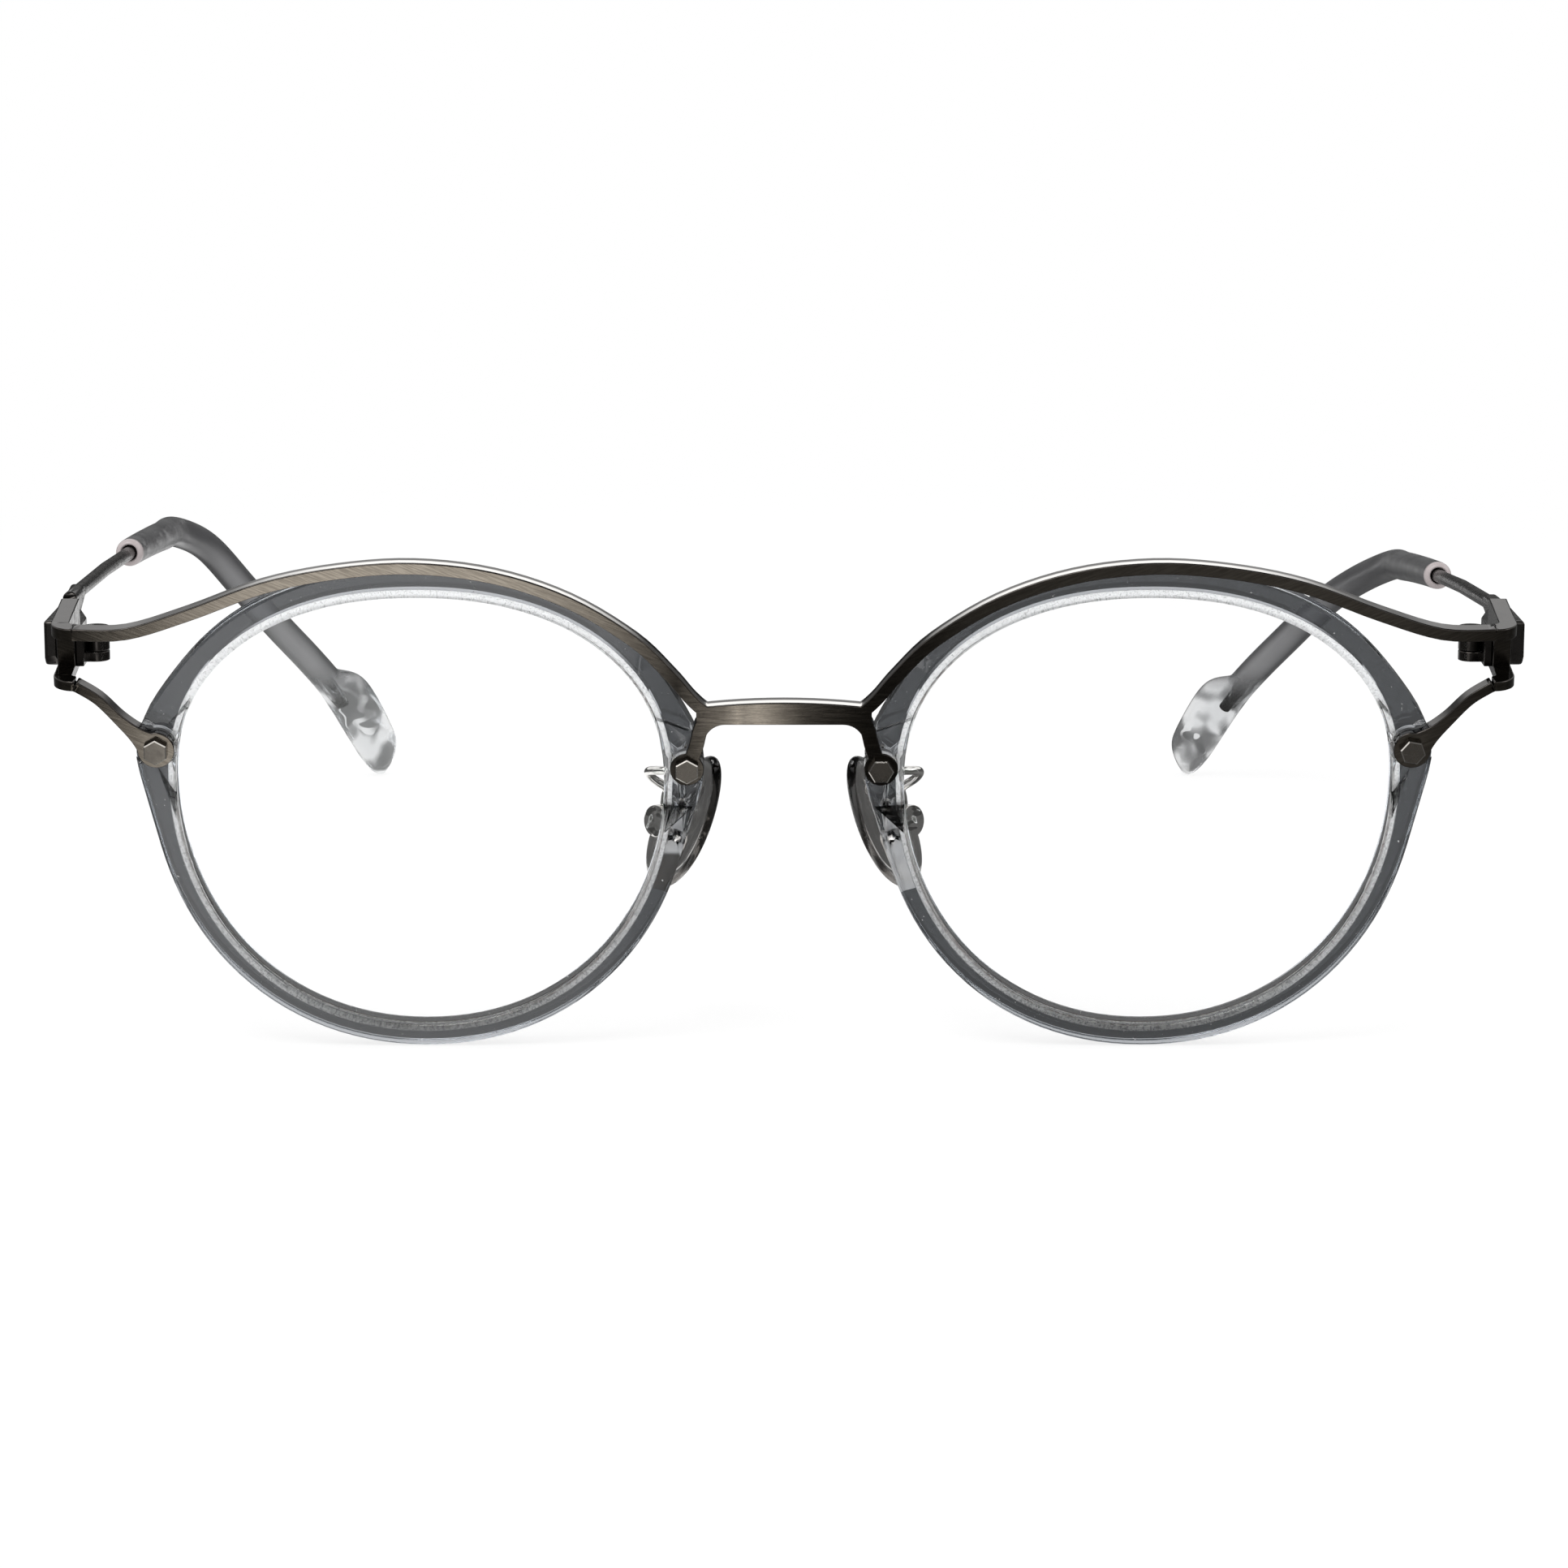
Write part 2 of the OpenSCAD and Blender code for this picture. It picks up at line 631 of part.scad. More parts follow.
module temple_hinge(side) {
    z = hinge_z - mid_knuckle_h / 2;
    color(gunmetal)
        standing() on_side(side) {
            knuckle(z, mid_knuckle_h, pin_r + pin_fit);
            difference() {
                translate([hinge_x, hinge_back + knuckle_gap, z])
                    cube([leaf_x - hinge_x + web_lap, knuckle_r - knuckle_gap, mid_knuckle_h]);
                translate([hinge_x, hinge_back, z - cut_over])
                    cylinder(r = (knuckle_r + pin_r) / 2, h = mid_knuckle_h + 2 * cut_over);
            }
            translate([0, 0, hinge_low])
                linear_extrude(hinge_h)
                    polygon([
                        [leaf_x, hinge_back + knuckle_gap],
                        [ribbon_x, hinge_back + knuckle_gap],
                        [ribbon_x, hinge_back + temple_leaf_l],
                        [ribbon_x - leaf_end_t, hinge_back + temple_leaf_l],
                        [leaf_x, hinge_back + temple_leaf_l / 2]
                    ]);
        }
}
module hinge_screw(side) {
    driver_w = 0.2;
    driver_d = 0.2;
    color(chrome)
        standing() on_side(side)
            translate([hinge_x, hinge_back, hinge_low])
                difference() {
                    union() {
                        cylinder(r = pin_r, h = hinge_h);
                        translate([0, 0, hinge_h - head_h]) cylinder(r = head_r, h = head_h);
                    }
                    translate([-head_r, -driver_w / 2, hinge_h - driver_d])
                        cube([2 * head_r, driver_w, driver_d + cut_over]);
                }
}

// Temple: a flat ribbon at the hinge that tapers into the wire
ribbon_corner = 0.7;
neck_rise = 1.1;
neck_fall = 0.25;
module temple(side) {
    p = wire_keys(side < 0 ? bend_skew : -bend_skew);
    keys = concat(keys_between(0, tip_key), keys_between(tip_key, core_key));
    y0 = hinge_back - ribbon_lap;
    y1 = hinge_back + ribbon_l;
    neck = y0 + ribbon_neck;
    low = hinge_z - ribbon_down;
    high = hinge_z + ribbon_up;
    end_z = spot(p, 2 * (ribbon_l - wire_root) / (tip_start - wire_root))[2];
    color(gunmetal)
        standing() on_side(side) {
            translate([ribbon_x, 0, 0])
                rotate([90, 0, 90])
                    linear_extrude(ribbon_t)
                        polygon([
                            [y0, low + ribbon_corner],
                            [y0 + ribbon_corner, low],
                            [(y0 + neck) / 2, low + neck_rise / 10],
                            [neck, low + neck_rise],
                            [y1, end_z - wire_r],
                            [y1, end_z + wire_r],
                            [neck, high - neck_fall],
                            [y0, high]
                        ]);
            skin([
                for (t = keys) ring(spot(p, t), course(p, t), ear_side, wire_r, wire_r, wire_r, wire_sides)
            ]);
        }
}

// Clear ear tip over the end of the wire, widening inwards into a flat paddle
ear_side = [-0.86, 0, 0.5];
first_key = 0.1;
swell_keys = 3;
paddle_shape = [
    [0, 0, 1], [0.11, 0.8, 1], [0.24, 1.02, 1], [0.4, 1, 1], [0.6, 0.9, 1],
    [0.74, 0.78, 0.95], [0.86, 0.2, 0.8], [0.95, -0.35, 0.6], [1, -0.7, 0.3]
];
module ear_tip(side) {
    p = wire_keys(side < 0 ? bend_skew : -bend_skew);
    hole = wire_r + core_fit;
    lip = [[0, 0.35], [0.17, 0.65], [0.5, 0.87], [1, 1]];
    start = spot(p, tip_key);
    along = course(p, tip_key);
    color(smoke)
        standing() on_side(side)
            skin([
                for (t = [for (k = keys_between(tip_key, core_key)) tip_key + core_key - k])
                    ring(spot(p, t), course(p, t), ear_side, hole, hole, hole, wire_sides),
                for (v = lip)
                    let (r = hole + (tip_front_r - hole) * v[1])
                        ring(start + along * v[0] * lip_l, along, ear_side, r, r, r, wire_sides),
                for (t = keys_between(tip_key + first_key, kink_key))
                    let (r = tip_front_r + (tip_r - tip_front_r) * min(1, (t - tip_key) / swell_keys))
                        ring(spot(p, t), course(p, t), ear_side, r, r, r, wire_sides),
                for (v = paddle_shape)
                    let (
                        t = kink_key + (last_key - kink_key) * max(v[0], 0.03),
                        b = tip_r + (paddle_t / 2 - tip_r) * min(1, 2 * v[0])
                    )
                        ring(
                            spot(p, t), course(p, t), ear_side,
                            tip_r + paddle_bulge * v[1], tip_r * v[2], b * v[2], wire_sides
                        )
            ]);
}

// Nose pads: foot on the back of the rim, goose-neck wire, round box, mount and pad
foot_top = [lens_x - half_w - foot_in, lens_z - foot_drop];
foot_low = foot_top + [foot_lean, -foot_h + foot_w];
foot_pins = [foot_top, foot_low];
tongue_root = foot_low + [0.4, -0.6];
module pad_foot(side) {
    color(gunmetal)
        in_front() on_side(side) {
            slab(rim_t, rim_t + foot_t) {
                strip(foot_pins, foot_w);
                for (p = foot_pins) translate(p) circle(foot_w / 2);
                strip([
                    [tongue_root[0], tongue_root[1], tongue_w],
                    [tongue_root[0] + tongue_lean, tongue_root[1] - tongue_l, tongue_w - tongue_taper]
                ]);
                translate(tongue_root) circle(tongue_w / 2);
            }
            for (p = foot_pins) rod(p, foot_pin_r, rim_t - foot_pin_l, rim_t + foot_t / 2);
        }
}

// Frame of a pad box: x along its screw, y towards the nose, z up along the pad
module at_box() {
    translate([box_x, box_y, box_z])
        rotate([0, -pad_splay, 0]) rotate([0, 0, pad_turn]) children();
}
function leaning(p, y) = [
        p[0], y * cos(front_tilt) - p[1] * sin(front_tilt), p[1] * cos(front_tilt) + y * sin(front_tilt)
    ];

// Goose neck: up the back of the foot, over towards the nose side of the lens, down to the box
module pad_arm(side) {
    behind = rim_t + foot_t + arm_wire_r + solder_gap;
    top = leaning(foot_top, rim_t + foot_t / 2);
    crown = [-sin(pad_splay), 0, cos(pad_splay)];
    box = [box_x, box_y, box_z] + (box_r + solder_gap) * crown;
    path = curve([
            leaning(foot_top - [0, 1.2], behind),
            leaning(foot_top + [0, 0.3], behind),
            top + [0.2, 1.25, 1.7],
            top + [1.2, 1.6, 2.6],
            top + [2.4, 2.2, 2.6],
            top + [3.3, 3.2, 2.3],
            top + [2.9, 4.2, 1.4],
            box + 1.8 * crown + [0.15, -0.3, 0],
            box + 0.8 * crown + [0.05, 0, 0],
            box
        ], 4);
    color(chrome)
        standing() on_side(side) skin(tube_rings(path, arm_wire_r, [0.3, -0.9, 0.2], 10));
}
module pad_box(side) {
    slot = lug_t + 2 * lug_fit;
    color(chrome)
        standing() on_side(side) at_box()
            difference() {
                translate([0, box_t / 2, 0]) rotate([90, 0, 0]) cylinder(r = box_r, h = box_t);
                translate([-slot / 2, -box_t / 2 + box_wall, -box_r - cut_over])
                    cube([slot, box_t + cut_over, box_r + cut_over + slot_up]);
                translate([-box_r - cut_over, 0, 0])
                    rotate([0, 90, 0])
                        cylinder(r = pad_screw_r + thread_fit, h = 2 * (box_r + cut_over));
            }
}
module pad_screw(side) {
    color(chrome)
        standing() on_side(side) at_box()
            translate([-box_r, 0, 0]) rotate([0, 90, 0]) cylinder(r = pad_screw_r, h = 2 * box_r);
}
module pad_mount(side) {
    color(chrome)
        standing() on_side(side) at_box()
            difference() {
                union() {
                    translate([-lug_t / 2, 0, 0]) rotate([0, 90, 0]) cylinder(r = lug_r, h = lug_t);
                    translate([-lug_t / 2, 0, -lug_r])
                        cube([lug_t, pad_stand - disc_t / 2, 2 * lug_r]);
                    translate([0, pad_stand, 0])
                        rotate([90, 0, 0]) cylinder(r = disc_r, h = disc_t);
                }
                translate([-lug_t / 2 - cut_over, 0, 0])
                    rotate([0, 90, 0])
                        cylinder(r = pad_screw_r + pad_screw_fit, h = lug_t + 2 * cut_over);
            }
}
module nose_pad(side) {
    layers = [[0, 0.84], [0.15, 0.95], [0.45, 1], [0.7, 0.96], [0.9, 0.85], [1, 0.7]];
    pad_sides = 24;
    egg = 0.07;
    color(silicone)
        standing() on_side(side) at_box()
            translate([-pad_set, pad_stand, 0])
                rotate([0, -pad_lean, 0])
                    skin([
                        for (p = layers) [
                            for (j = [0 : pad_sides - 1])
                                let (a = -j * 360 / pad_sides, z = sin(a) * pad_l / 2) [
                                    cos(a) * (pad_w / 2 - egg * z) * p[1],
                                    p[0] * pad_t,
                                    z * p[1]
                                ]
                        ]
                    ]);
}

metal_front();
rim(-1);  // rim_left
rim(1);  // rim_right
lens(-1);  // lens_left
lens(1);  // lens_right
rim_screw(outer_screw, 90, -1);  // outer_screw_left
rim_screw(outer_screw, 10, 1);  // outer_screw_right
rim_screw(nose_screw, 90, -1);  // nose_screw_left
rim_screw(nose_screw, 0, 1);  // nose_screw_right
rim_nut(outer_screw, -1);  // outer_nut_left
rim_nut(outer_screw, 1);  // outer_nut_right
rim_nut(nose_screw, -1);  // nose_nut_left
rim_nut(nose_screw, 1);  // nose_nut_right
front_hinge(-1);  // front_hinge_left
front_hinge(1);  // front_hinge_right
temple_hinge(-1);  // temple_hinge_left
temple_hinge(1);  // temple_hinge_right
hinge_screw(-1);  // hinge_screw_left
hinge_screw(1);  // hinge_screw_right
temple(-1);  // temple_left
temple(1);  // temple_right
ear_tip(-1);  // ear_tip_left
ear_tip(1);  // ear_tip_right
pad_foot(-1);  // pad_foot_left
pad_foot(1);  // pad_foot_right
pad_arm(-1);  // pad_arm_left
pad_arm(1);  // pad_arm_right
pad_box(-1);  // pad_box_left
pad_box(1);  // pad_box_right
pad_screw(-1);  // pad_screw_left
pad_screw(1);  // pad_screw_right
pad_mount(-1);  // pad_mount_left
pad_mount(1);  // pad_mount_right
nose_pad(-1);  // nose_pad_left
nose_pad(1);  // nose_pad_right
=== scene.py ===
# %% [markdown]
# Round eyeglasses, dressed for a studio picture.
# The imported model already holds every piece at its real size: the metal front, the two
# see-through rims, the lenses, the screws, the hinges, the temples and the nose pads.
# This lesson loads that model, sets up the camera, the light and the finishes, and then
# goes through the pieces one family at a time, giving each its rounded edges and its surface.

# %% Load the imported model
import json
import math
import bmesh
import bpy
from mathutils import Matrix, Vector
from mathutils.kdtree import KDTree

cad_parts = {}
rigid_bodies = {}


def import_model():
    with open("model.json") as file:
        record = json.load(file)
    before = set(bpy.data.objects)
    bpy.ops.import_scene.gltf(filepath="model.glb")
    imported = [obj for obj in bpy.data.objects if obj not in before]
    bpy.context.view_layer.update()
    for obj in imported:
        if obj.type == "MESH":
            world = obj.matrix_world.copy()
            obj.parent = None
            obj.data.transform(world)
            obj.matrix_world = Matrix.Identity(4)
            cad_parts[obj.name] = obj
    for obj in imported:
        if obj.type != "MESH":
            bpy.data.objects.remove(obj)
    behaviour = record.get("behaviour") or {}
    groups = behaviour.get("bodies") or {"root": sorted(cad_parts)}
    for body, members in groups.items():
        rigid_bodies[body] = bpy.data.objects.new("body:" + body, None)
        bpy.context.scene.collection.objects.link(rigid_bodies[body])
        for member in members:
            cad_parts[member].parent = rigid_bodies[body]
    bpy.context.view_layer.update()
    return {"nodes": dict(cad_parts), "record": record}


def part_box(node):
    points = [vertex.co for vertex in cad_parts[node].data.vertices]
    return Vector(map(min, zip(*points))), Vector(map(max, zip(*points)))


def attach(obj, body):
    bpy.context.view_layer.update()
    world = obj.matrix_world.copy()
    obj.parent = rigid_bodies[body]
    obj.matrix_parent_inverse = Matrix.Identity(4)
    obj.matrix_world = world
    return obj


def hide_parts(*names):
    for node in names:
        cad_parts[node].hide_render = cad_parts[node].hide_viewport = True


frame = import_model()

MM = 0.001
SIDES = ("left", "right")

# %% [markdown]
# The photograph was taken with a long lens, from a little above the rims and dead ahead.
# A camera can be matched by eye, but the focal length and the height also follow from the
# picture: how much smaller the ear tips look than the rims, and how far up the frame they
# stand. The numbers below are the outcome, and the distance is counted from the lowest
# front edge of the rims, because that is where the glasses touch the table.

# %% Camera
IMAGE_PX = 1932
FOCAL_PX = 6240
SENSOR_W = 36.0
CAMERA_AHEAD = 472.25 * MM
CAMERA_UP = 126.13 * MM
CAMERA_PITCH = 12.0
NEAREST_SEEN = 10.0 * MM
RIM_T = 2.4 * MM
FRONT_TILT = math.radians(8.0)

rim_front_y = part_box("rim_left")[1].y - RIM_T * math.cos(FRONT_TILT)
camera_data = bpy.data.cameras.new("front_camera")
camera_data.sensor_width = SENSOR_W
camera_data.lens = SENSOR_W * FOCAL_PX / IMAGE_PX
camera_data.clip_start = NEAREST_SEEN
camera = bpy.data.objects.new("front_camera", camera_data)
camera.location = (0.0, rim_front_y - CAMERA_AHEAD, CAMERA_UP)
camera.rotation_euler = (math.radians(90.0 - CAMERA_PITCH), 0.0, 0.0)
bpy.context.scene.collection.objects.link(camera)
bpy.context.scene.camera = camera
print("camera at", [round(v, 4) for v in camera.location], "lens", round(camera_data.lens, 2))

# %% [markdown]
# Shader maths reads badly as boxes and strings of links. Here it is written as sums: a Wire
# holds one output of a node, and adding or multiplying wires adds the Math node for it.
# A Paint is one material. Its node method makes any node: the type, its settings, and the
# numbers or wires that go into its sockets.

# %% Shader helpers
def feed(tree, socket, value):
    """Put a wire or a plain value into one input socket."""
    if isinstance(value, Wire):
        tree.links.new(value.socket, socket)
    else:
        socket.default_value = value


class Wire:
    """One output socket, with the arithmetic that adds Math nodes."""

    def __init__(self, tree, socket):
        self.tree = tree
        self.socket = socket

    def math(self, operation, first, second=0.0):
        """The output of a new Math node."""
        node = self.tree.nodes.new("ShaderNodeMath")
        node.operation = operation
        feed(self.tree, node.inputs[0], first)
        feed(self.tree, node.inputs[1], second)
        return Wire(self.tree, node.outputs[0])

    def __add__(self, other):
        return self.math("ADD", self, other)

    def __radd__(self, other):
        return self.math("ADD", other, self)

    def __sub__(self, other):
        return self.math("SUBTRACT", self, other)

    def __rsub__(self, other):
        return self.math("SUBTRACT", other, self)

    def __mul__(self, other):
        return self.math("MULTIPLY", self, other)

    def __rmul__(self, other):
        return self.math("MULTIPLY", other, self)

    def __abs__(self):
        return self.math("ABSOLUTE", self)


class Paint:
    """A node tree, of a material or of the world, and the ways to fill it."""

    def __init__(self, owner):
        owner.use_nodes = True
        self.owner = owner
        self.tree = owner.node_tree
        self.tree.nodes.clear()

    def node(self, kind, settings=None, inputs=None, out=0):
        """Add a node: settings first, then what goes into its sockets."""
        made = self.tree.nodes.new(kind)
        for name, value in (settings or {}).items():
            if name == "stops":
                set_stops(made.color_ramp, value)
            else:
                setattr(made, name, value)
        for name, value in (inputs or {}).items():
            feed(self.tree, made.inputs[name], value)
        return Wire(self.tree, made.outputs[out])

    def mix(self, factor, first, second):
        """Blend two colours."""
        colours = {0: factor, 6: first, 7: second}
        return self.node("ShaderNodeMix", {"data_type": "RGBA"}, colours, 2)

    def step(self, value, low, high, bottom=0.0, top=1.0):
        """A smooth rise from bottom to top as the value goes from low to high."""
        ranges = {"Value": value, "From Min": low, "From Max": high, "To Min": bottom, "To Max": top}
        return self.node("ShaderNodeMapRange", {"interpolation_type": "SMOOTHSTEP"}, ranges)

    def levels(self, value, half, table):
        """A grey for each value, read from a table of (millimetres, grey) that spans -half to half."""
        share = self.node("ShaderNodeMapRange", {}, {"Value": value, "From Min": -half, "From Max": half})
        stops = [((place * MM + half) / (2 * half), (grey, grey, grey, 1)) for place, grey in table]
        return self.node("ShaderNodeValToRGB", {"stops": stops}, {"Fac": share})

    def place(self):
        """The point on the piece, in metres from the middle of the glasses."""
        return self.node("ShaderNodeTexCoord", out="Object")

    def stretched(self, point, scale, turn=(0.0, 0.0, 0.0)):
        """The same point turned and then scaled by a different amount along each axis."""
        turned = self.node("ShaderNodeMapping", {"vector_type": "POINT"},
                           {"Vector": point, "Rotation": turn})
        return self.node("ShaderNodeVectorMath", {"operation": "MULTIPLY"}, {0: turned, 1: scale})

    def noise(self, point, scale=1.0, detail=2.0, rough=0.5):
        """Cloudy values from 0 to 1, about scale clouds to the metre."""
        return self.node("ShaderNodeTexNoise", {}, {"Vector": point, "Scale": scale, "Detail": detail,
                                                    "Roughness": rough}, "Fac")

    def bump(self, height, distance):
        """The normal of a surface whose height goes up by distance as the value goes to 1."""
        return self.node("ShaderNodeBump", {}, {"Height": height, "Distance": distance,
                                                "Strength": 1.0})

    def parts(self, vector):
        """The x, y and z of a vector as three wires."""
        split = self.tree.nodes.new("ShaderNodeSeparateXYZ")
        feed(self.tree, split.inputs[0], vector)
        return [Wire(self.tree, socket) for socket in split.outputs]

    def finish(self, shader, kind="ShaderNodeOutputMaterial", volume=None):
        """Link the shader to the output and hand back the finished material or world."""
        end = self.tree.nodes.new(kind)
        self.tree.links.new(shader.socket, end.inputs["Surface"])
        if volume:
            self.tree.links.new(volume.socket, end.inputs["Volume"])
        return self.owner


def set_stops(ramp, stops):
    """Give a colour ramp these stops and no others."""
    while len(ramp.elements) > 1:
        ramp.elements.remove(ramp.elements[-1])
    for index, (position, colour) in enumerate(stops):
        element = ramp.elements[0] if index == 0 else ramp.elements.new(position)
        element.position = position
        element.color = colour


def new_paint(name):
    """A Paint on a new material."""
    return Paint(bpy.data.materials.new(name))


print("shader helpers ready")

# %% [markdown]
# The metal front is plated a warm dark grey and then brushed. Under a magnifier it shows
# short scratches about a tenth of a millimetre wide and a millimetre or two long, level on
# the bridge and slanting on the brow bars and side arms, because the bars are brushed with
# each side held at an angle. A scratch changes three things: the plating is a shade lighter,
# it is rougher, and it has depth. One stretched noise drives all three. On top of that the
# colour carries painted light: it is lighter on the left bar and on the left half of the
# bridge, a painted reflection of the lamp on the left, and darker elsewhere. A list of grey
# levels gives it, each with its place across the front in millimetres.

# %% Brushed metal
BRIDGE_HALF = 9.5 * MM
BRIDGE_BLEND = 1.5 * MM
BRUSH_TURN = math.radians(22.0)
BRUSH_SCALES = (420.0, 3280.0, 8200.0)
SCRATCH_LIGHT = (0.34, 0.70)
SCRATCH_DEPTH = 0.009 * MM
CLOUD_SCALE = 260.0
DARK_PLATE, LIGHT_PLATE = (0.30, 0.262, 0.216, 1), (0.52, 0.462, 0.385, 1)
BRUSHED_ROUGH = (0.12, 0.20)
# Painted light across the front: grey levels by place, lighter on the left bar and the left half of the
# bridge.
PAINTED_LIGHT_HALF = 80.0 * MM
PAINTED_LIGHT_LEVELS = ((-80, 0.10), (-67, 0.14), (-62, 0.40), (-52, 0.54), (-26, 0.54), (-14, 0.34), (-10, 0.15),
         (-7, 0.45), (-5.2, 0.50), (-4.6, 0.95), (-3.6, 0.70), (-2.6, 0.95), (-0.5, 0.60),
         (2, 0.26), (8, 0.12), (12, 0.12), (18, 0.24), (58, 0.30), (66, 0.14), (80, 0.10))


def brush_marks(paint):
    """Scratches from 0 to 1: level on the bridge, slanting and mirrored on the two sides."""
    point = paint.place()
    across, back, up = paint.parts(point)
    mirrored = paint.node("ShaderNodeCombineXYZ", {}, {"X": abs(across), "Y": back, "Z": up})
    turned = paint.stretched(mirrored, BRUSH_SCALES, (0.0, BRUSH_TURN, 0.0))
    level = paint.noise(paint.stretched(point, BRUSH_SCALES), detail=3.0, rough=0.7)
    slant = paint.noise(turned, detail=3.0, rough=0.7)
    side = paint.step(abs(across), BRIDGE_HALF, BRIDGE_HALF + BRIDGE_BLEND)
    return level * (1.0 - side) + slant * side


paint = new_paint("brushed_gunmetal")
marks = brush_marks(paint)
across, _, _ = paint.parts(paint.place())
plate = paint.mix(paint.step(marks, *SCRATCH_LIGHT), DARK_PLATE, LIGHT_PLATE)
# Painted light: a grey by place across the front darkens or lightens the plating colour.
painted_light = paint.levels(across, PAINTED_LIGHT_HALF, PAINTED_LIGHT_LEVELS)
cloud = paint.noise(paint.place(), CLOUD_SCALE, 2.0)
gunmetal = paint.finish(paint.node("ShaderNodeBsdfPrincipled", {}, {
    "Base Color": paint.mix(painted_light, (0.0, 0.0, 0.0, 1), plate),
    "Metallic": 1.0,
    "Roughness": paint.step(marks * 0.7 + cloud * 0.3, 0.3, 0.7, *BRUSHED_ROUGH),
    "Normal": paint.bump(marks, SCRATCH_DEPTH),
}))
print("brushed finish:", gunmetal.name)

# %% [markdown]
# Everything else of metal is only plated and polished: the cut round each screw head is
# bright, the hinges are dark, and the wires of the nose pads are chrome. The walls of the
# front get the same near-black plating as the hinges, which there is painted shade.
# Near-mirror metals take their look from what they mirror, and from two small faults:
# a soft, wide waviness of the plating and a very fine haze left by polishing. The haze is the
# same for all, so one function makes them, and a call gives the two colours, the range of
# the roughness and, for chrome, the size and the depth of the waves.

# %% Polished metal
FINE_HAZE = (900.0, 4.0, 0.6)
HAZE_TINTS = (0.4, 0.7)
HAZE_ROUGHENS = (0.3, 0.75)
PLATING_WAVE = (4.5 * MM, 0.012 * MM)
CHROME_WAVE = (1.3 * MM, 0.16 * MM)


def polished_metal(name, colour, haze_colour, rough_low, rough_high, wave=PLATING_WAVE):
    paint = new_paint(name)
    wave_size, wave_depth = wave
    haze = paint.noise(paint.place(), *FINE_HAZE)
    waves = paint.noise(paint.place(), 1.0 / wave_size, 1.0)
    return paint.finish(paint.node("ShaderNodeBsdfPrincipled", {}, {
        "Base Color": paint.mix(paint.step(haze, *HAZE_TINTS), colour, haze_colour),
        "Metallic": 1.0,
        "Roughness": paint.step(haze, *HAZE_ROUGHENS, rough_low, rough_high),
        "Normal": paint.bump(waves, wave_depth),
    }))


cut_edge = polished_metal("cut_edge", (0.62, 0.59, 0.55, 1), (0.50, 0.475, 0.44, 1), 0.08, 0.18)
# On the metal front this near-black plating is painted shade on the walls and rounded edges; on the hinges
# it is their own colour.
dark_plating_and_painted_shade = polished_metal("dark_plating_and_painted_shade", (0.042, 0.038, 0.035, 1),
                              (0.028, 0.026, 0.024, 1), 0.14, 0.26)
hex_plating = polished_metal("hex_plating", (0.165, 0.150, 0.130, 1),
                             (0.135, 0.122, 0.106, 1), 0.24, 0.34)
chrome = polished_metal("chrome", (0.74, 0.73, 0.71, 1), (0.60, 0.59, 0.57, 1), 0.04, 0.12, CHROME_WAVE)
wire_metal = polished_metal("wire_gunmetal", (0.060, 0.056, 0.053, 1),
                            (0.042, 0.039, 0.037, 1), 0.20, 0.34)
polished = (cut_edge, dark_plating_and_painted_shade, hex_plating, chrome, wire_metal)
print("polished finishes:", [each.name for each in polished])

# %% [markdown]
# The sides of the bars that look up are polished too, and bright. Painted shade darkens them
# near the back edge and near the bent ends, which leaves a painted highlight along the front
# part of each top. Both borders are smooth steps of the place on the piece: how far behind
# the plane of the rims' front faces, which is less than nothing for the part of a bar that
# stands out from it, and how far from the middle.

# %% Top plating and its painted shade
BRIGHT_TOP, PAINTED_SHADE_TOP = (0.92, 0.90, 0.87, 1), (0.045, 0.041, 0.038, 1)
TOP_ROUGH = (0.07, 0.16)
TOP_GRAIN = 0.004 * MM
PAINTED_SHADE_ENDS = (40.0 * MM, 58.0 * MM)
FRONT_TILT_COS, FRONT_TILT_SIN = math.cos(FRONT_TILT), math.sin(FRONT_TILT)
PLANE_BACK = rim_front_y * FRONT_TILT_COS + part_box("rim_left")[0].z * FRONT_TILT_SIN
PAINTED_SHADE_BACK = (-0.66 * MM, -0.38 * MM)

paint = new_paint("top_plating_painted_shade")
across, back, up = paint.parts(paint.place())
behind = back * FRONT_TILT_COS + up * FRONT_TILT_SIN - PLANE_BACK
haze = paint.noise(paint.place(), *FINE_HAZE)
# Painted highlight: bright only in a band along the front of each top; painted shade at the back edge and
# the ends.
painted_highlight_band = paint.step(behind, *PAINTED_SHADE_BACK, 1.0, 0.0) * paint.step(abs(across), *PAINTED_SHADE_ENDS, 1.0, 0.0)
top_plating_painted_shade = paint.finish(paint.node("ShaderNodeBsdfPrincipled", {}, {
    "Base Color": paint.mix(painted_highlight_band, PAINTED_SHADE_TOP, BRIGHT_TOP),
    "Metallic": 1.0,
    "Roughness": paint.step(haze, *HAZE_ROUGHENS, *TOP_ROUGH),
    "Normal": paint.bump(haze, TOP_GRAIN),
}))
print("top plating turns dark", round(-PAINTED_SHADE_BACK[0] / MM, 2), "mm before the plane of the rims")

# %% [markdown]
# The feet of the pad arms shine through the rims. Their pins and plates are bright. The left
# tongue below them is darkened with painted shade and the right one stays light, so the colour
# goes from dark to light across the nose, and up from the tongues to the plates.

# %% Foot plating and painted shade
TONGUE_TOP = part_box("pad_box_left")[1].z - 3.6 * MM
TONGUE_FADE = 0.5 * MM
NOSE_FADE = 1.0 * MM
BRIGHT_FOOT, PAINTED_SHADE_TONGUE = (0.90, 0.86, 0.81, 1), (0.12, 0.105, 0.09, 1)
FOOT_ROUGH = (0.30, 0.42)
FOOT_GRAIN = 0.01 * MM

paint = new_paint("foot_plating_painted_shade")
across, _, up = paint.parts(paint.place())
haze = paint.noise(paint.place(), 700.0, 3.0)
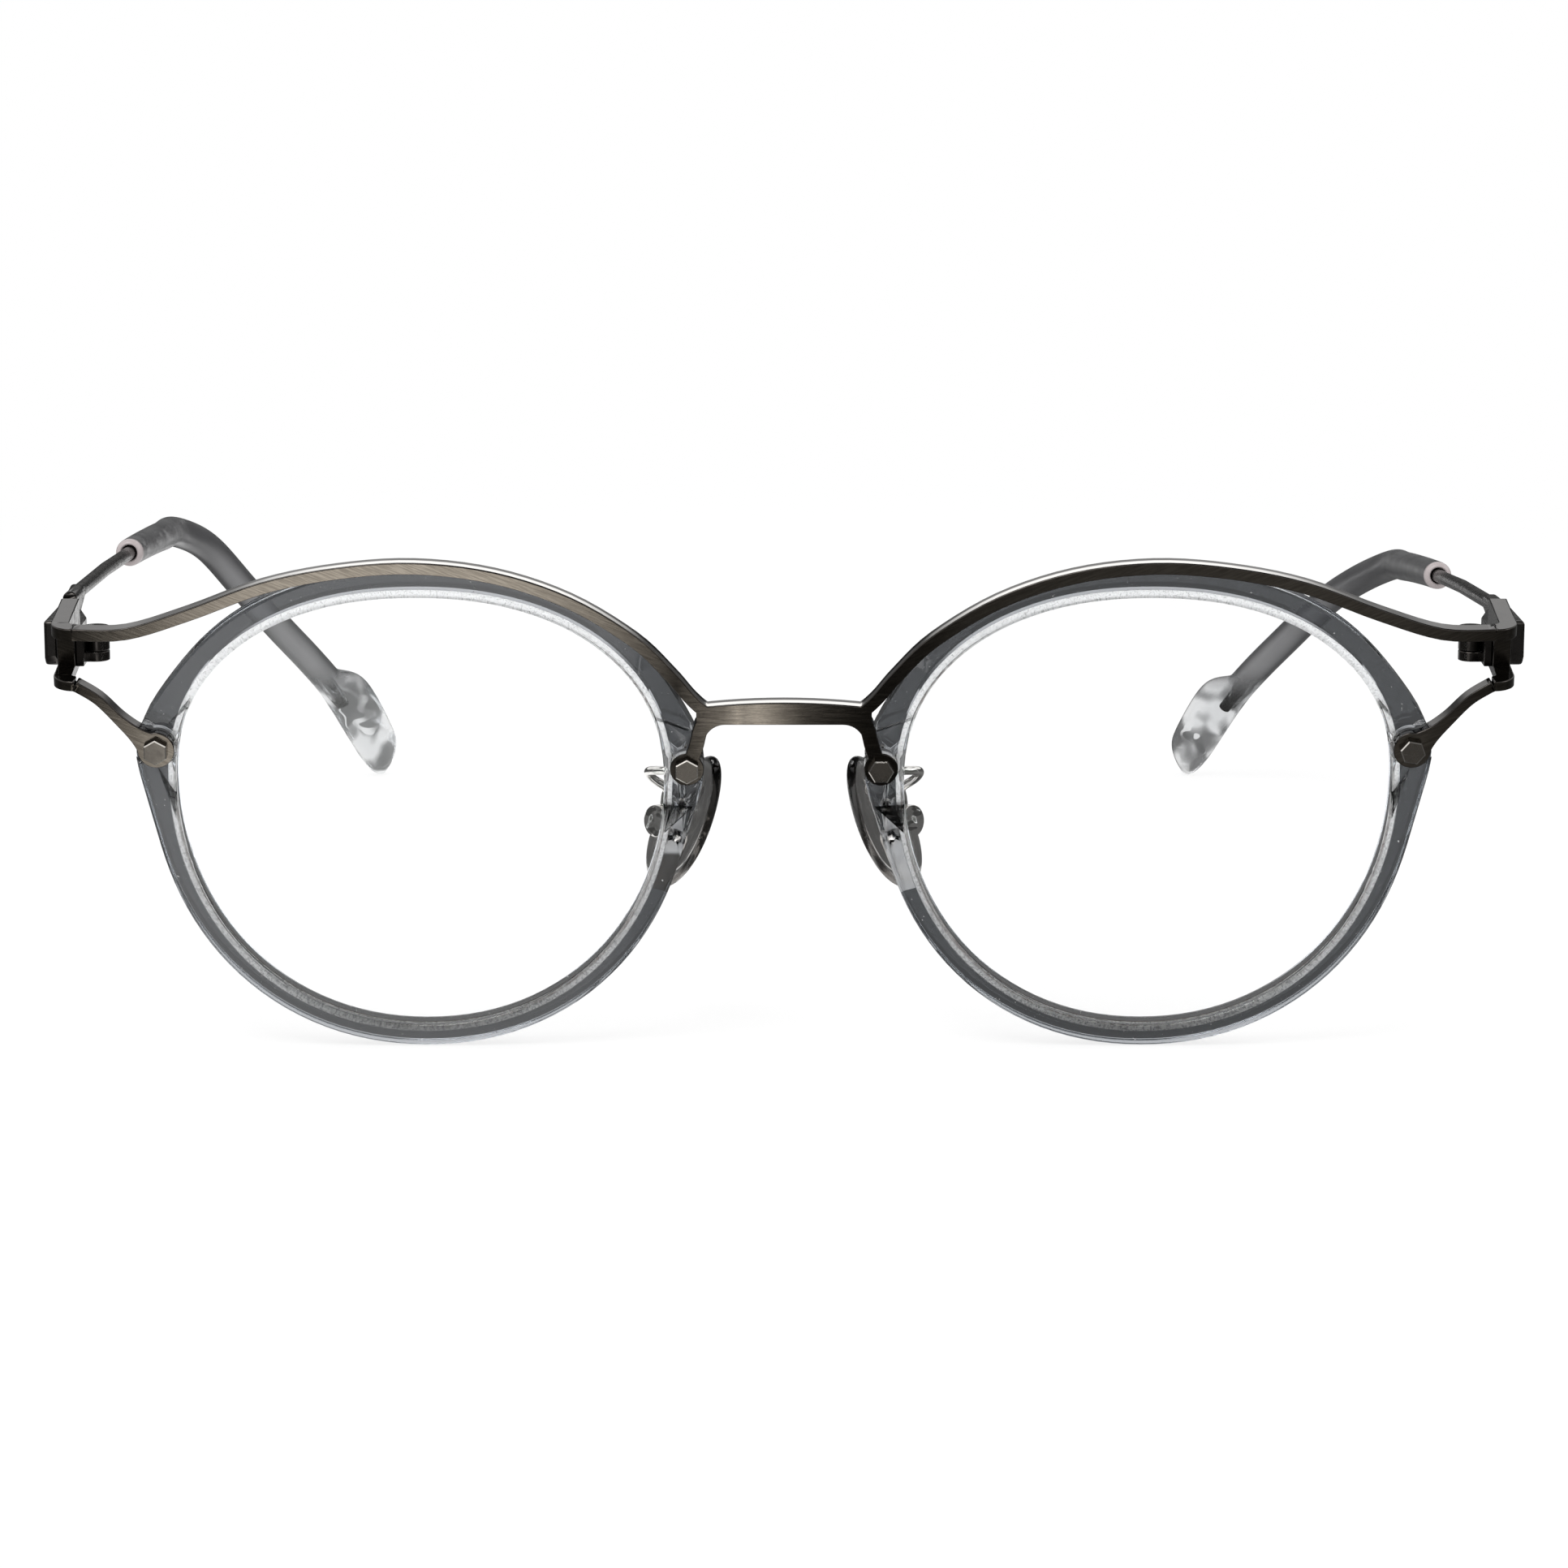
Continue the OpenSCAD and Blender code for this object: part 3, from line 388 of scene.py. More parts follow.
# Painted shade: the left tongue is darkened, fading out across the nose and up towards the plates.
left_in_shade = paint.step(across, -NOSE_FADE, NOSE_FADE, 1.0, 0.0)
painted_shade_tongue = left_in_shade * paint.step(up, TONGUE_TOP, TONGUE_TOP + TONGUE_FADE, 1.0, 0.0)
foot_plating_painted_shade = paint.finish(paint.node("ShaderNodeBsdfPrincipled", {}, {
    "Base Color": paint.mix(painted_shade_tongue, BRIGHT_FOOT, PAINTED_SHADE_TONGUE),
    "Metallic": 1.0,
    "Roughness": paint.step(haze, 0.3, 0.7, *FOOT_ROUGH),
    "Normal": paint.bump(haze, FOOT_GRAIN),
}))
print("the tongues end at z =", round(TONGUE_TOP / MM, 2), "mm")

# %% [markdown]
# The rims and the ear tips are smoke-grey acetate that light passes through. Painting the
# surface grey would make thin and thick places equally dark. Here the surface is clear and the
# volume absorbs: light that crosses the thin lip in front of a lens stays bright, and light
# that crosses the whole rim comes out grey. Sheet acetate also holds dust: small pale specks,
# sparse, set at random, which a noise cut off near its top gives.

# %% Clear plastics
ACETATE_IOR, SILICONE_IOR = 1.49, 1.42
ROUGH_SCALE, WAVE_SCALE = 140.0, 120.0
MOULD_WAVE = 0.004 * MM
DUST_COLOUR, DUST_SHARE, DUST_EDGE = (0.75, 0.75, 0.74, 1), 0.6, 0.02
GLUE_COLOUR, GLUE_SHARE = (0.1, 0.1, 0.1, 1), 0.12
WHITE = (1, 1, 1, 1)
DENSITY_MARGIN = 1.2


def see_through(paint, shade, through):
    """A volume whose colour is shade when light has gone through that much of it."""
    losses = [-math.log(part) / through for part in shade]
    density = DENSITY_MARGIN * max(losses)
    tint = [1.0 - loss / density for loss in losses] + [1.0]
    return paint.node("ShaderNodeVolumeAbsorption", {}, {"Color": tint, "Density": density})


def clear_surface(paint, rough_low, rough_high, ior, wave_depth):
    """A glassy skin, a little rougher here and there and a little wavy."""
    cloud = paint.noise(paint.place(), ROUGH_SCALE, 2.0)
    wave = paint.noise(paint.place(), WAVE_SCALE, 2.0, 0.6)
    return paint.node("ShaderNodeBsdfPrincipled", {}, {
        "Base Color": WHITE,
        "Transmission Weight": 1.0,
        "IOR": ior,
        "Roughness": paint.step(cloud, 0.3, 0.7, rough_low, rough_high),
        "Normal": paint.bump(wave, wave_depth),
    })


def clear_plastic(name, shade, through, speck_size, speck_floor, rough, ior):
    paint = new_paint(name)
    specks = paint.noise(paint.place(), 1.0 / speck_size, 1.0, 0.4)
    dust = paint.node("ShaderNodeBsdfPrincipled", {}, {"Base Color": DUST_COLOUR, "Roughness": 0.6})
    share = paint.step(specks, speck_floor, speck_floor + DUST_EDGE, 0.0, DUST_SHARE)
    skin = clear_surface(paint, *rough, ior, MOULD_WAVE)
    surface = paint.node("ShaderNodeMixShader", {}, {0: share, 1: skin, 2: dust})
    return paint.finish(surface, volume=see_through(paint, shade, through))


def glued_wall(name, shade, through):
    """A wall filled with clear glue: light goes straight on into the plastic behind it."""
    paint = new_paint(name)
    cloud = paint.noise(paint.place(), 900.0, 2.0)
    share = paint.step(cloud, 0.5, 0.8, 0.0, GLUE_SHARE)
    straight = paint.node("ShaderNodeBsdfTransparent", {}, {"Color": WHITE})
    glue = paint.node("ShaderNodeBsdfPrincipled", {}, {"Base Color": GLUE_COLOUR, "Roughness": 0.4})
    surface = paint.node("ShaderNodeMixShader", {}, {0: share, 1: straight, 2: glue})
    return paint.finish(surface, volume=see_through(paint, shade, through))


SMOKE, PAD_GREY = (0.43, 0.445, 0.465), (0.60, 0.59, 0.58)
PAD_T = 1.8 * MM
pocket_wall = glued_wall("pocket_wall", SMOKE, RIM_T)
smoke_acetate = clear_plastic("smoke_acetate", SMOKE, RIM_T, 0.26 * MM, 0.765, (0.0, 0.03), ACETATE_IOR)
clear_silicone = clear_plastic("pad_silicone", PAD_GREY, PAD_T, 0.4 * MM, 0.80, (0.02, 0.08), SILICONE_IOR)
print("clear finishes:", smoke_acetate.name, clear_silicone.name)

# %% [markdown]
# The ear tips change along their length. The tube round the bend is satin and lets little
# light through. Its grey is painted paler where it faces the viewer, a painted sheen, so a
# facing value picks between two greys. The flat paddle at the end is clear and wavy like
# poured glass, so it breaks the background into light and dark patches, and some patches let
# light straight through. The sawn front end is milky. All three are mixed by place: height
# tells tube from paddle, and distance from the front end finds the cut.

# %% Tip plastic
PADDLE_FADE = (10.5 * MM, 15.5 * MM)
TUBE_SHARE = (0.05, 0.90)
CUT_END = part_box("ear_tip_left")[0].y
CUT_FADE = (CUT_END + 0.6 * MM, CUT_END + 1.5 * MM)
POURED_SCALES = (300.0, 300.0, 170.0)
POURED_WAVE = 1.2 * MM
TIP_T = 2.2 * MM
TIP_TINT = (0.84, 0.85, 0.86)

paint = new_paint("tip_plastic")
_, back, up = paint.parts(paint.place())
cloud = paint.noise(paint.place(), 220.0, 3.0)
facing = paint.node("ShaderNodeLayerWeight", {}, {"Blend": 0.35}, "Facing")
dark = paint.mix(cloud, (0.050, 0.050, 0.052, 1), (0.075, 0.075, 0.078, 1))
# Painted sheen: a paler grey where the tube faces the viewer.
painted_sheen_grey = paint.mix(cloud, (0.18, 0.18, 0.185, 1), (0.24, 0.24, 0.245, 1))
satin = paint.node("ShaderNodeBsdfPrincipled", {}, {
    "Base Color": paint.mix(paint.step(facing, 0.10, 0.45), painted_sheen_grey, dark),
    "Roughness": paint.step(cloud, 0.3, 0.7, 0.28, 0.40),
    "Normal": paint.bump(cloud, 0.01 * MM),
})
sawn = paint.node("ShaderNodeBsdfPrincipled", {}, {
    "Base Color": paint.mix(cloud, (0.34, 0.30, 0.30, 1), (0.44, 0.39, 0.39, 1)),
    "Roughness": paint.step(cloud, 0.3, 0.7, 0.22, 0.4),
})
tube_share = paint.step(up, *PADDLE_FADE, *TUBE_SHARE)
near_cut = paint.step(back, *CUT_FADE, 0.95, 0.0)
poured = paint.noise(paint.stretched(paint.place(), POURED_SCALES), 1.0, 1.0, 0.4)
straight = paint.node("ShaderNodeBsdfTransparent", {}, {"Color": (0.98, 0.98, 0.98, 1)})
open_share = paint.step(poured, 0.47, 0.60, 0.10, 0.95) * paint.step(facing, 0.25, 0.75, 1.0, 0.15)
wavy = clear_surface(paint, 0.0, 0.05, ACETATE_IOR, POURED_WAVE)
clear = paint.node("ShaderNodeMixShader", {}, {0: open_share, 1: wavy, 2: straight})
tube = paint.node("ShaderNodeMixShader", {}, {0: tube_share, 1: clear, 2: satin})
skin = paint.node("ShaderNodeMixShader", {}, {0: near_cut, 1: tube, 2: sawn})
tip_plastic = paint.finish(skin, volume=see_through(paint, TIP_TINT, TIP_T))
print("tip finish:", tip_plastic.name)

# %% [markdown]
# The lenses carry no tint. Rays go straight through a Transparent shader, which keeps the
# white background white, and a Fresnel factor adds the faint mirror of coated glass. The part
# of a lens that sits in the groove is ground with fine marks: matt white at the top, where
# the background shines on it, and greyer below. A thin brown line ends the ground band.

# %% Lens glass
GLASS_IOR = 1.45
COATING = (0.88, 0.94, 0.90, 1)
GREY_TO_WHITE = (14.0 * MM, 34.0 * MM)
GROUND_GREYS = (0.20, 0.20, 0.20, 1), (0.52, 0.52, 0.51, 1)
GROUND_WHITES = (0.62, 0.62, 0.61, 1), (1.0, 1.0, 0.99, 1)
GRIND_DEPTH = 0.02 * MM

paint = new_paint("lens_glass")
smear = paint.noise(paint.place(), 90.0, 3.0)
mirror = paint.node("ShaderNodeBsdfGlossy", {}, {
    "Color": COATING, "Roughness": paint.step(smear, 0.3, 0.7, 0.0, 0.02)})
straight = paint.node("ShaderNodeBsdfTransparent", {}, {"Color": WHITE})
share = paint.node("ShaderNodeFresnel", {}, {"IOR": GLASS_IOR}) * paint.step(smear, 0.2, 0.8, 0.25, 0.45)
lens_glass = paint.finish(paint.node("ShaderNodeMixShader", {}, {0: share, 1: straight, 2: mirror}))

paint = new_paint("ground_edge")
_, _, up = paint.parts(paint.place())
grain = paint.noise(paint.place(), 5200.0, 2.0, 0.7)
glint = paint.step(paint.noise(paint.place(), 3000.0, 1.0), 0.60, 0.72)
greyer = paint.mix(paint.step(grain, 0.35, 0.60), *GROUND_GREYS)
whiter = paint.mix(paint.step(grain, 0.30, 0.52), *GROUND_WHITES)
ground_edge = paint.finish(paint.node("ShaderNodeBsdfPrincipled", {}, {
    "Base Color": paint.mix(paint.step(up, *GREY_TO_WHITE), greyer, whiter),
    "Roughness": paint.step(grain, 0.3, 0.7, 0.35, 0.7),
    "Coat Weight": glint * 0.8,
    "Normal": paint.bump(grain, GRIND_DEPTH),
}))

paint = new_paint("ground_border")
grain = paint.noise(paint.place(), 1500.0, 2.0)
share = paint.step(grain, 0.3, 0.7, 0.25, 0.75)
straight = paint.node("ShaderNodeBsdfTransparent", {}, {"Color": WHITE})
brown = paint.node("ShaderNodeBsdfPrincipled", {}, {"Base Color": (0.10, 0.06, 0.05, 1), "Roughness": 0.5})
ground_border = paint.finish(paint.node("ShaderNodeMixShader", {}, {0: share, 1: straight, 2: brown}))
print("lens finishes:", lens_glass.name, ground_edge.name, ground_border.name)

# %% [markdown]
# A part out of a CAD program has edges as sharp as a razor, and real ones never are. The
# dressing helper copies a piece's mesh, welds its loose triangles and melts flat triangles
# into whole faces. Rounding every edge by hand would take hours, and one width for all edges
# breaks small steps. So each family of pieces gives a rule that says how wide the rounding of
# an edge is, the widths are stored as bevel weights, and a Bevel modifier does the cutting.
# A flat face with hundreds of corners can tear when its border is cut, and a fan of thin
# triangles shades in streaks. Four-sided faces do neither, so each big face is split into
# triangles and those are joined in pairs before the cut.

# %% Dressing helpers
WELD = 0.002 * MM
FLAT = math.radians(0.6)
SHARP = math.radians(30.0)
PAIR_BEND, PAIR_SHAPE = math.radians(50.0), math.radians(80.0)
FLAT_PAIR_BEND = 0.001
FLAT_FACES_WIN = 100
FRONT_WAY = Vector((0.0, -math.cos(FRONT_TILT), -math.sin(FRONT_TILT)))
UP_WAY = Vector((0.0, -math.sin(FRONT_TILT), math.cos(FRONT_TILT)))
front_corner = Vector((0.0, rim_front_y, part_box("rim_left")[0].z))
bodies = frame["record"]["behaviour"]["bodies"]
node_body = {name: body for body, names in bodies.items() for name in names}


def welded(node, melt=True):
    """A bmesh of one CAD piece, welded and, where it is flat, with whole faces."""
    bm = bmesh.new()
    bm.from_mesh(frame["nodes"][node].data)
    bmesh.ops.remove_doubles(bm, verts=bm.verts, dist=WELD)
    bmesh.ops.dissolve_degenerate(bm, edges=bm.edges, dist=WELD)
    if melt:
        bmesh.ops.dissolve_limit(bm, angle_limit=FLAT, verts=bm.verts, edges=bm.edges)
    bm.normal_update()
    return bm


def depth(point):
    """How far a point lies behind the plane of the rims' front faces."""
    return -(point - front_corner).dot(FRONT_WAY)


def in_plane(across, up, behind):
    """The point at these places across and up the front, and this far behind its plane."""
    return Vector((across, 0.0, 0.0)) + front_corner + UP_WAY * up - FRONT_WAY * behind


def placed(point):
    """Where a point lies across and up the front, and how far behind its plane."""
    return point.x, (point - front_corner).dot(UP_WAY), depth(point)


def middle_of(points):
    """The middle of the box round some placed points, across and up the front."""
    return [(min(p[i] for p in points) + max(p[i] for p in points)) / 2 for i in (0, 1)]


def pair_triangles(bm, bend=PAIR_BEND, shape=PAIR_SHAPE):
    """Join pairs of triangles, bent by no more than this at their common edge, to one face."""
    triangles = [face for face in bm.faces if len(face.verts) == 3]
    bmesh.ops.join_triangles(bm, faces=triangles, angle_face_threshold=bend, angle_shape_threshold=shape)
    return bm


def dress(bm, name, node, finishes, width=0.0, rule=None, segments=2, cut_finish=-1, levels=0):
    """Make the bmesh a piece that rides with its node's body and stands for the node.

    A rule gives the rounding of an edge, up to width, and levels smooths a whole piece.
    """
    weight = bm.edges.layers.float.new("bevel_weight_edge")
    rounded = 0
    for edge in bm.edges:
        if rule and edge.is_manifold and edge.is_convex and edge.calc_face_angle(0.0) > SHARP:
            edge[weight] = min(1.0, rule(edge) / width)
            rounded += edge[weight] > 0
    if not levels:
        bmesh.ops.triangulate(bm, faces=[face for face in bm.faces if len(face.verts) > 4])
        pair_triangles(bm, FLAT_PAIR_BEND, math.pi)
    mesh = bpy.data.meshes.new(name)
    bm.to_mesh(mesh)
    bm.free()
    for each in finishes:
        mesh.materials.append(each)
    mesh.shade_smooth()
    if not levels:
        mesh.set_sharp_from_angle(angle=SHARP)
    piece = bpy.data.objects.new(name, mesh)
    bpy.context.scene.collection.objects.link(piece)
    if rule:
        rounding = piece.modifiers.new("rounded_edges", "BEVEL")
        rounding.limit_method = "WEIGHT"
        rounding.offset_type = "OFFSET"
        rounding.width = width
        rounding.segments = segments
        rounding.profile = 0.5
        rounding.material = cut_finish
        rounding.use_clamp_overlap = False
        rounding.miter_outer = "MITER_ARC" if segments > 1 else "MITER_SHARP"
    if levels:
        smoothing = piece.modifiers.new("smooth_surface", "SUBSURF")
        smoothing.levels = levels
        smoothing.render_levels = levels
    else:
        even = piece.modifiers.new("even_shading", "WEIGHTED_NORMAL")
        even.keep_sharp = True
        even.weight = FLAT_FACES_WIN
    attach(piece, node_body[node])
    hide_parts(node)
    report(piece, node, rounded)


def report(piece, node, rounded):
    """Print how far the dressed piece's box moved from its CAD box, to catch a stray corner."""
    shaped = piece.evaluated_get(bpy.context.evaluated_depsgraph_get()).to_mesh()
    places = list(zip(*(vertex.co for vertex in shaped.vertices)))
    low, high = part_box(node)
    reach = max(max(low[i] - min(places[i]), max(places[i]) - high[i]) for i in range(3))
    print(f"{piece.name}: {len(shaped.polygons)} faces, {rounded} rounded edges, "
          f"{reach / MM:+.3f} mm past its box")


print("nodes of each body:", {body: len(names) for body, names in bodies.items()})

# %% [markdown]
# The metal front first. Its outer skin is brushed, and the sides of the bars that look up are
# polished and mirror the bright wall behind. The rest, the walls that face neither front, out
# nor up, gets the near-black plating as painted shade. The rounded edges get this painted shade
# too, which leaves the top of a bar as one painted highlight line between two dark ones. The
# rule for an edge looks at its two faces: how much one looks up sets the width.

# %% Metal front
CHAMFER = 0.12 * MM
THIN_EDGE = 0.05 * MM
BRUSHED, DARK, TOP = range(3)
LEVEL_FACE = 0.1
FRONT_FACE = 0.2
TOP_FACE = 0.4
WIDEST_LIFT = 0.6


def is_skin(face):
    """Is this face part of the outer skin, at the front or round the bent ends?"""
    outward = face.normal.x * face.calc_center_median().x > 0
    upright = abs(face.normal.dot(UP_WAY)) < LEVEL_FACE
    return upright and (face.normal.dot(FRONT_WAY) > FRONT_FACE or outward)


def front_edge_width(edge):
    """Thin under a bar and widest along its top."""
    if edge.calc_length() < 2 * THIN_EDGE:
        return 0.0
    lift = max(face.normal.dot(UP_WAY) for face in edge.link_faces)
    share = (lift - LEVEL_FACE) / (WIDEST_LIFT - LEVEL_FACE)
    return THIN_EDGE + (CHAMFER - THIN_EDGE) * min(1.0, max(0.0, share))


bm = welded("metal_front")
# Walls that neither face front nor look up, and the rounded edges, take the dark plating as painted shade;
# the tops take the painted highlight.
for face in bm.faces:
    plain = TOP if face.normal.dot(UP_WAY) > TOP_FACE else DARK
    face.material_index = BRUSHED if is_skin(face) else plain
dress(bm, "brushed_front", "metal_front", [gunmetal, dark_plating_and_painted_shade, top_plating_painted_shade],
      CHAMFER, front_edge_width, 2, DARK)

# %% [markdown]
# The acetate rims are milled and then tumbled in drums of polishing chips for days, which
# rounds the outline by a quarter of a millimetre and leaves the faces glossy. The chips do
# not reach into the pockets for the metal or into the screw holes, so those edges stay sharp,
# and the rounding nearly fades out where the outline runs into a pocket. The low walls of the
# pockets are filled with glue, which makes them nearly invisible.

# %% Rims
RIM_ROUND = 0.24 * MM
SMALL_ROUND = 0.03 * MM
SHORT_EDGE = 0.7 * MM
FADE_START = 0.4 * MM
FADE_LENGTH = 2.0 * MM
POCKET_D = 0.3 * MM
CORNER_TURN = math.radians(22.0)
SAME_PLANE = 0.02 * MM
WALL_FACE = 0.3


def is_pocket_wall(face):
    """Is this the low wall between the front face of a rim and the floor of a pocket?"""
    behind = [depth(vertex.co) for vertex in face.verts]
    return abs(face.normal.dot(FRONT_WAY)) < WALL_FACE and max(behind) < POCKET_D + SAME_PLANE


def off_faces(point):
    """How far a point lies from the plane of a rim's front face or back face."""
    return min(abs(depth(point)), abs(depth(point) - RIM_T))


def outline_corners(bm):
    """Points where a pocket starts, or where the outline of a rim's face turns sharply."""
    found = [vertex.co for vertex in bm.verts if abs(depth(vertex.co) - POCKET_D) < SAME_PLANE]
    for vertex in bm.verts:
        if off_faces(vertex.co) > SAME_PLANE:
            continue
        sharp = [edge for edge in vertex.link_edges if edge.calc_face_angle(0.0) > SHARP]
        ways = [edge.other_vert(vertex).co - vertex.co for edge in sharp]
        ways = [way for way in ways if abs(way.dot(FRONT_WAY)) < SAME_PLANE]
        if len(ways) != 2 or ways[0].angle(ways[1]) < math.pi - CORNER_TURN:
            found.append(vertex.co)
    return found


def rim_rule(bm):
    """A rule for one rim, which knows where its pockets are."""
    corners = outline_corners(bm)
    tree = KDTree(len(corners))
    for index, corner in enumerate(corners):
        tree.insert(corner, index)
    tree.balance()

    def width(edge):
        middle = (edge.verts[0].co + edge.verts[1].co) / 2
        inside = off_faces(middle) > SAME_PLANE
        beside_pocket = any(is_pocket_wall(face) for face in edge.link_faces)
        if edge.calc_length() < SHORT_EDGE or inside or beside_pocket:
            return 0.0
        gap = min(tree.find(vertex.co)[2] for vertex in edge.verts)
        return max(SMALL_ROUND, RIM_ROUND * min(1.0, (gap - FADE_START) / FADE_LENGTH))

    return width


for side in SIDES:
    bm = welded("rim_" + side)
    for face in bm.faces:
        face.material_index = int(is_pocket_wall(face))
    dress(bm, "tumbled_rim_" + side, "rim_" + side, [smoke_acetate, pocket_wall],
          RIM_ROUND, rim_rule(bm), 3)

# %% [markdown]
# A lens out of the CAD model is a stack of flat triangles, and a mirror shows every one. The
# outline is measured on that model, as a distance from the middle for each angle, and a new
# lens is built on it from rings of points that lie on the two spheres of the glass. The
# outermost band of each face and the wall between them are ground, and a hair-thin dark line
# marks where the grinding stops.

# %% Lenses
LENS_CURVE = 400.0 * MM
LENS_STEPS = 180
SMALLEST_TURN = 1e-9
STEP_ANGLES = [-math.pi + math.tau * index / LENS_STEPS for index in range(LENS_STEPS)]
GROUND_TOP = 0.70 * MM
GROUND_LOW = 0.38 * MM
BORDER = 0.07 * MM
RING_SHARES = (1.0, 0.8, 0.6, 0.4, 0.2)
CLEAR, GROUND, BROWN = range(3)
BAND_FINISHES = (GROUND, BROWN, CLEAR)


def sag(radius):
    """How far a sphere of the lens's curve has dropped back at this radius."""
    return LENS_CURVE - math.sqrt(LENS_CURVE ** 2 - radius ** 2)


def lens_edge(bm, way):
    """Places (across, up, behind) of the corners between one face of a lens and its wall."""
    found = set()
    for edge in bm.edges:
        facing = [face.normal.dot(FRONT_WAY) * way for face in edge.link_faces]
        if max(facing) > 0.5 > min(abs(value) for value in facing):
            found.update(edge.verts)
    return [placed(vertex.co) for vertex in found]


def outline_radii(outline, middle):
    """The distance from the middle to the outline at each step round it."""
    polar = sorted((math.atan2(p[1] - middle[1], p[0] - middle[0]), math.dist(p[:2], middle))
                   for p in outline)
    (first, first_radius), (last, last_radius) = polar[0], polar[-1]
    polar = [(last - math.tau, last_radius)] + polar + [(first + math.tau, first_radius)]
    radii = []
    for angle in STEP_ANGLES:
        after = next(i for i, (known, _) in enumerate(polar) if known >= angle)
        (a0, r0), (a1, r1) = polar[max(after - 1, 0)], polar[after]
        radii.append(r0 + (r1 - r0) * (angle - a0) / max(a1 - a0, SMALLEST_TURN))
    return radii


def ring_radii(outline):
    """The radii of all rings of points, from the outline of a lens to its innermost ring."""
    ground = [GROUND_LOW + (GROUND_TOP - GROUND_LOW) * max(0.0, math.sin(angle)) for angle in STEP_ANGLES]
    border = [radius - band for radius, band in zip(outline, ground)]
    clear = [[(radius - BORDER) * share for radius in border] for share in RING_SHARES]
    return [outline, border] + clear


def ground_lens(node):
    source = welded(node, melt=False)
    edges = {way: lens_edge(source, way) for way in (1, -1)}
    source.free()
    middle = middle_of(edges[1])
    radii = ring_radii(outline_radii(edges[1], middle))
    bm = bmesh.new()
    walls = []
    for way in (1, -1):
        apex = sum(p[2] - sag(math.dist(p[:2], middle)) for p in edges[way]) / len(edges[way])
        rings = []
        for ring in radii:
            rings.append([bm.verts.new(in_plane(middle[0] + radius * math.cos(angle),
                                                middle[1] + radius * math.sin(angle), apex + sag(radius)))
                          for radius, angle in zip(ring, STEP_ANGLES)])
        centre = bm.verts.new(in_plane(*middle, apex))
        for band, (outer, inner) in enumerate(zip(rings, rings[1:] + [[centre]])):
            for i in range(LENS_STEPS):
                j = (i + 1) % LENS_STEPS
                within = [inner[j], inner[i]] if len(inner) > 1 else inner
                face = bm.faces.new([outer[i], outer[j], *within])
                face.material_index = BAND_FINISHES[min(band, 2)]
        walls.append(rings[0])
    for i in range(LENS_STEPS):
        j = (i + 1) % LENS_STEPS
        bm.faces.new([walls[0][j], walls[0][i], walls[1][i], walls[1][j]]).material_index = GROUND
    bmesh.ops.recalc_face_normals(bm, faces=bm.faces)
    return bm


for side in SIDES:
    dress(ground_lens("lens_" + side), "ground_lens_" + side, "lens_" + side,
          [lens_glass, ground_edge, ground_border])

# %% [markdown]
# Four hexagon heads hold the front on the rims. Their faces are turned smooth and dark, and
# the cut round each face is bright, which draws a thin light hexagon. They are made new: the
# middle, the turn and the sizes are measured on the CAD screw, a cone operator with six sides
# makes the head, one with many sides the shaft, and a bevel operator cuts the bright edge.
# Behind each screw sits a small round nut.

# %% Hexagon screws and nuts
HEX_CUT = 0.10 * MM
NUT_ROUND = 0.12 * MM
SHAFT_SIDES = 32
WIDEST_SHAFT = 0.7 * MM
SAME_LEVEL = 0.01 * MM


def stand_rod(bm, sides, size, near, far, middle, turn):
    """Add a rod with so many sides between two depths, a corner of it turned to this angle."""
    made = bmesh.ops.create_cone(bm, cap_ends=True, segments=sides, radius1=size, radius2=size,
                                 depth=far - near)
    for vertex in made["verts"]:
        angle = math.atan2(vertex.co.y, vertex.co.x) - math.pi / 2 + turn
        behind = (near + far) / 2 - vertex.co.z
        vertex.co = in_plane(middle[0] + size * math.cos(angle), middle[1] + size * math.sin(angle), behind)


def hex_screw(node):
    points = [placed(vertex.co) for vertex in frame["nodes"][node].data.vertices]
    front, back = min(p[2] for p in points), max(p[2] for p in points)
    middle = middle_of(points)
    head = [p for p in points if math.dist(p[:2], middle) > WIDEST_SHAFT]
    corner = max(head, key=lambda p: math.dist(p[:2], middle))
    radius = math.dist(corner[:2], middle)
    turn = math.atan2(corner[1] - middle[1], corner[0] - middle[0])
    shaft = min(math.dist(p[:2], middle) for p in points if p[2] > back - SAME_LEVEL)
    base = max(p[2] for p in head)
    bm = bmesh.new()
    stand_rod(bm, 6, radius, front, base, middle, turn)
    stand_rod(bm, SHAFT_SIDES, shaft, base, back, middle, 0.0)
    bmesh.ops.recalc_face_normals(bm, faces=bm.faces)
    bm.normal_update()
    rim = [edge for edge in bm.edges if all(depth(v.co) < front + SAME_LEVEL for v in edge.verts)]
    bmesh.ops.bevel(bm, geom=rim, offset=HEX_CUT, offset_type="OFFSET", segments=1, profile=0.5,
                    affect="EDGES", clamp_overlap=True, material=1)
    print(f"{node}: head {2 * radius / MM:.2f} mm across corners, {(base - front) / MM:.2f} mm high")
    return bm


def nut_edge(edge):
    return NUT_ROUND


for side in SIDES:
    for place in ("outer", "nose"):
        screw, nut = f"{place}_screw_{side}", f"{place}_nut_{side}"
        dress(hex_screw(screw), "hex_" + screw, screw, [hex_plating, cut_edge])
        dress(welded(nut), "turned_" + nut, nut, [hex_plating], NUT_ROUND, nut_edge)

# %% [markdown]
# The hinges are small milled blocks. Their edges are broken by a tenth of a millimetre, just
# enough to catch a line of light, and their plating is nearly black.

# %% Hinges
HINGE_ROUND = 0.09 * MM


def hinge_edge(edge):
    """Half as wide on the very short edges, so that they aren't used up."""
    return HINGE_ROUND if edge.calc_length() > 2 * HINGE_ROUND else HINGE_ROUND / 2


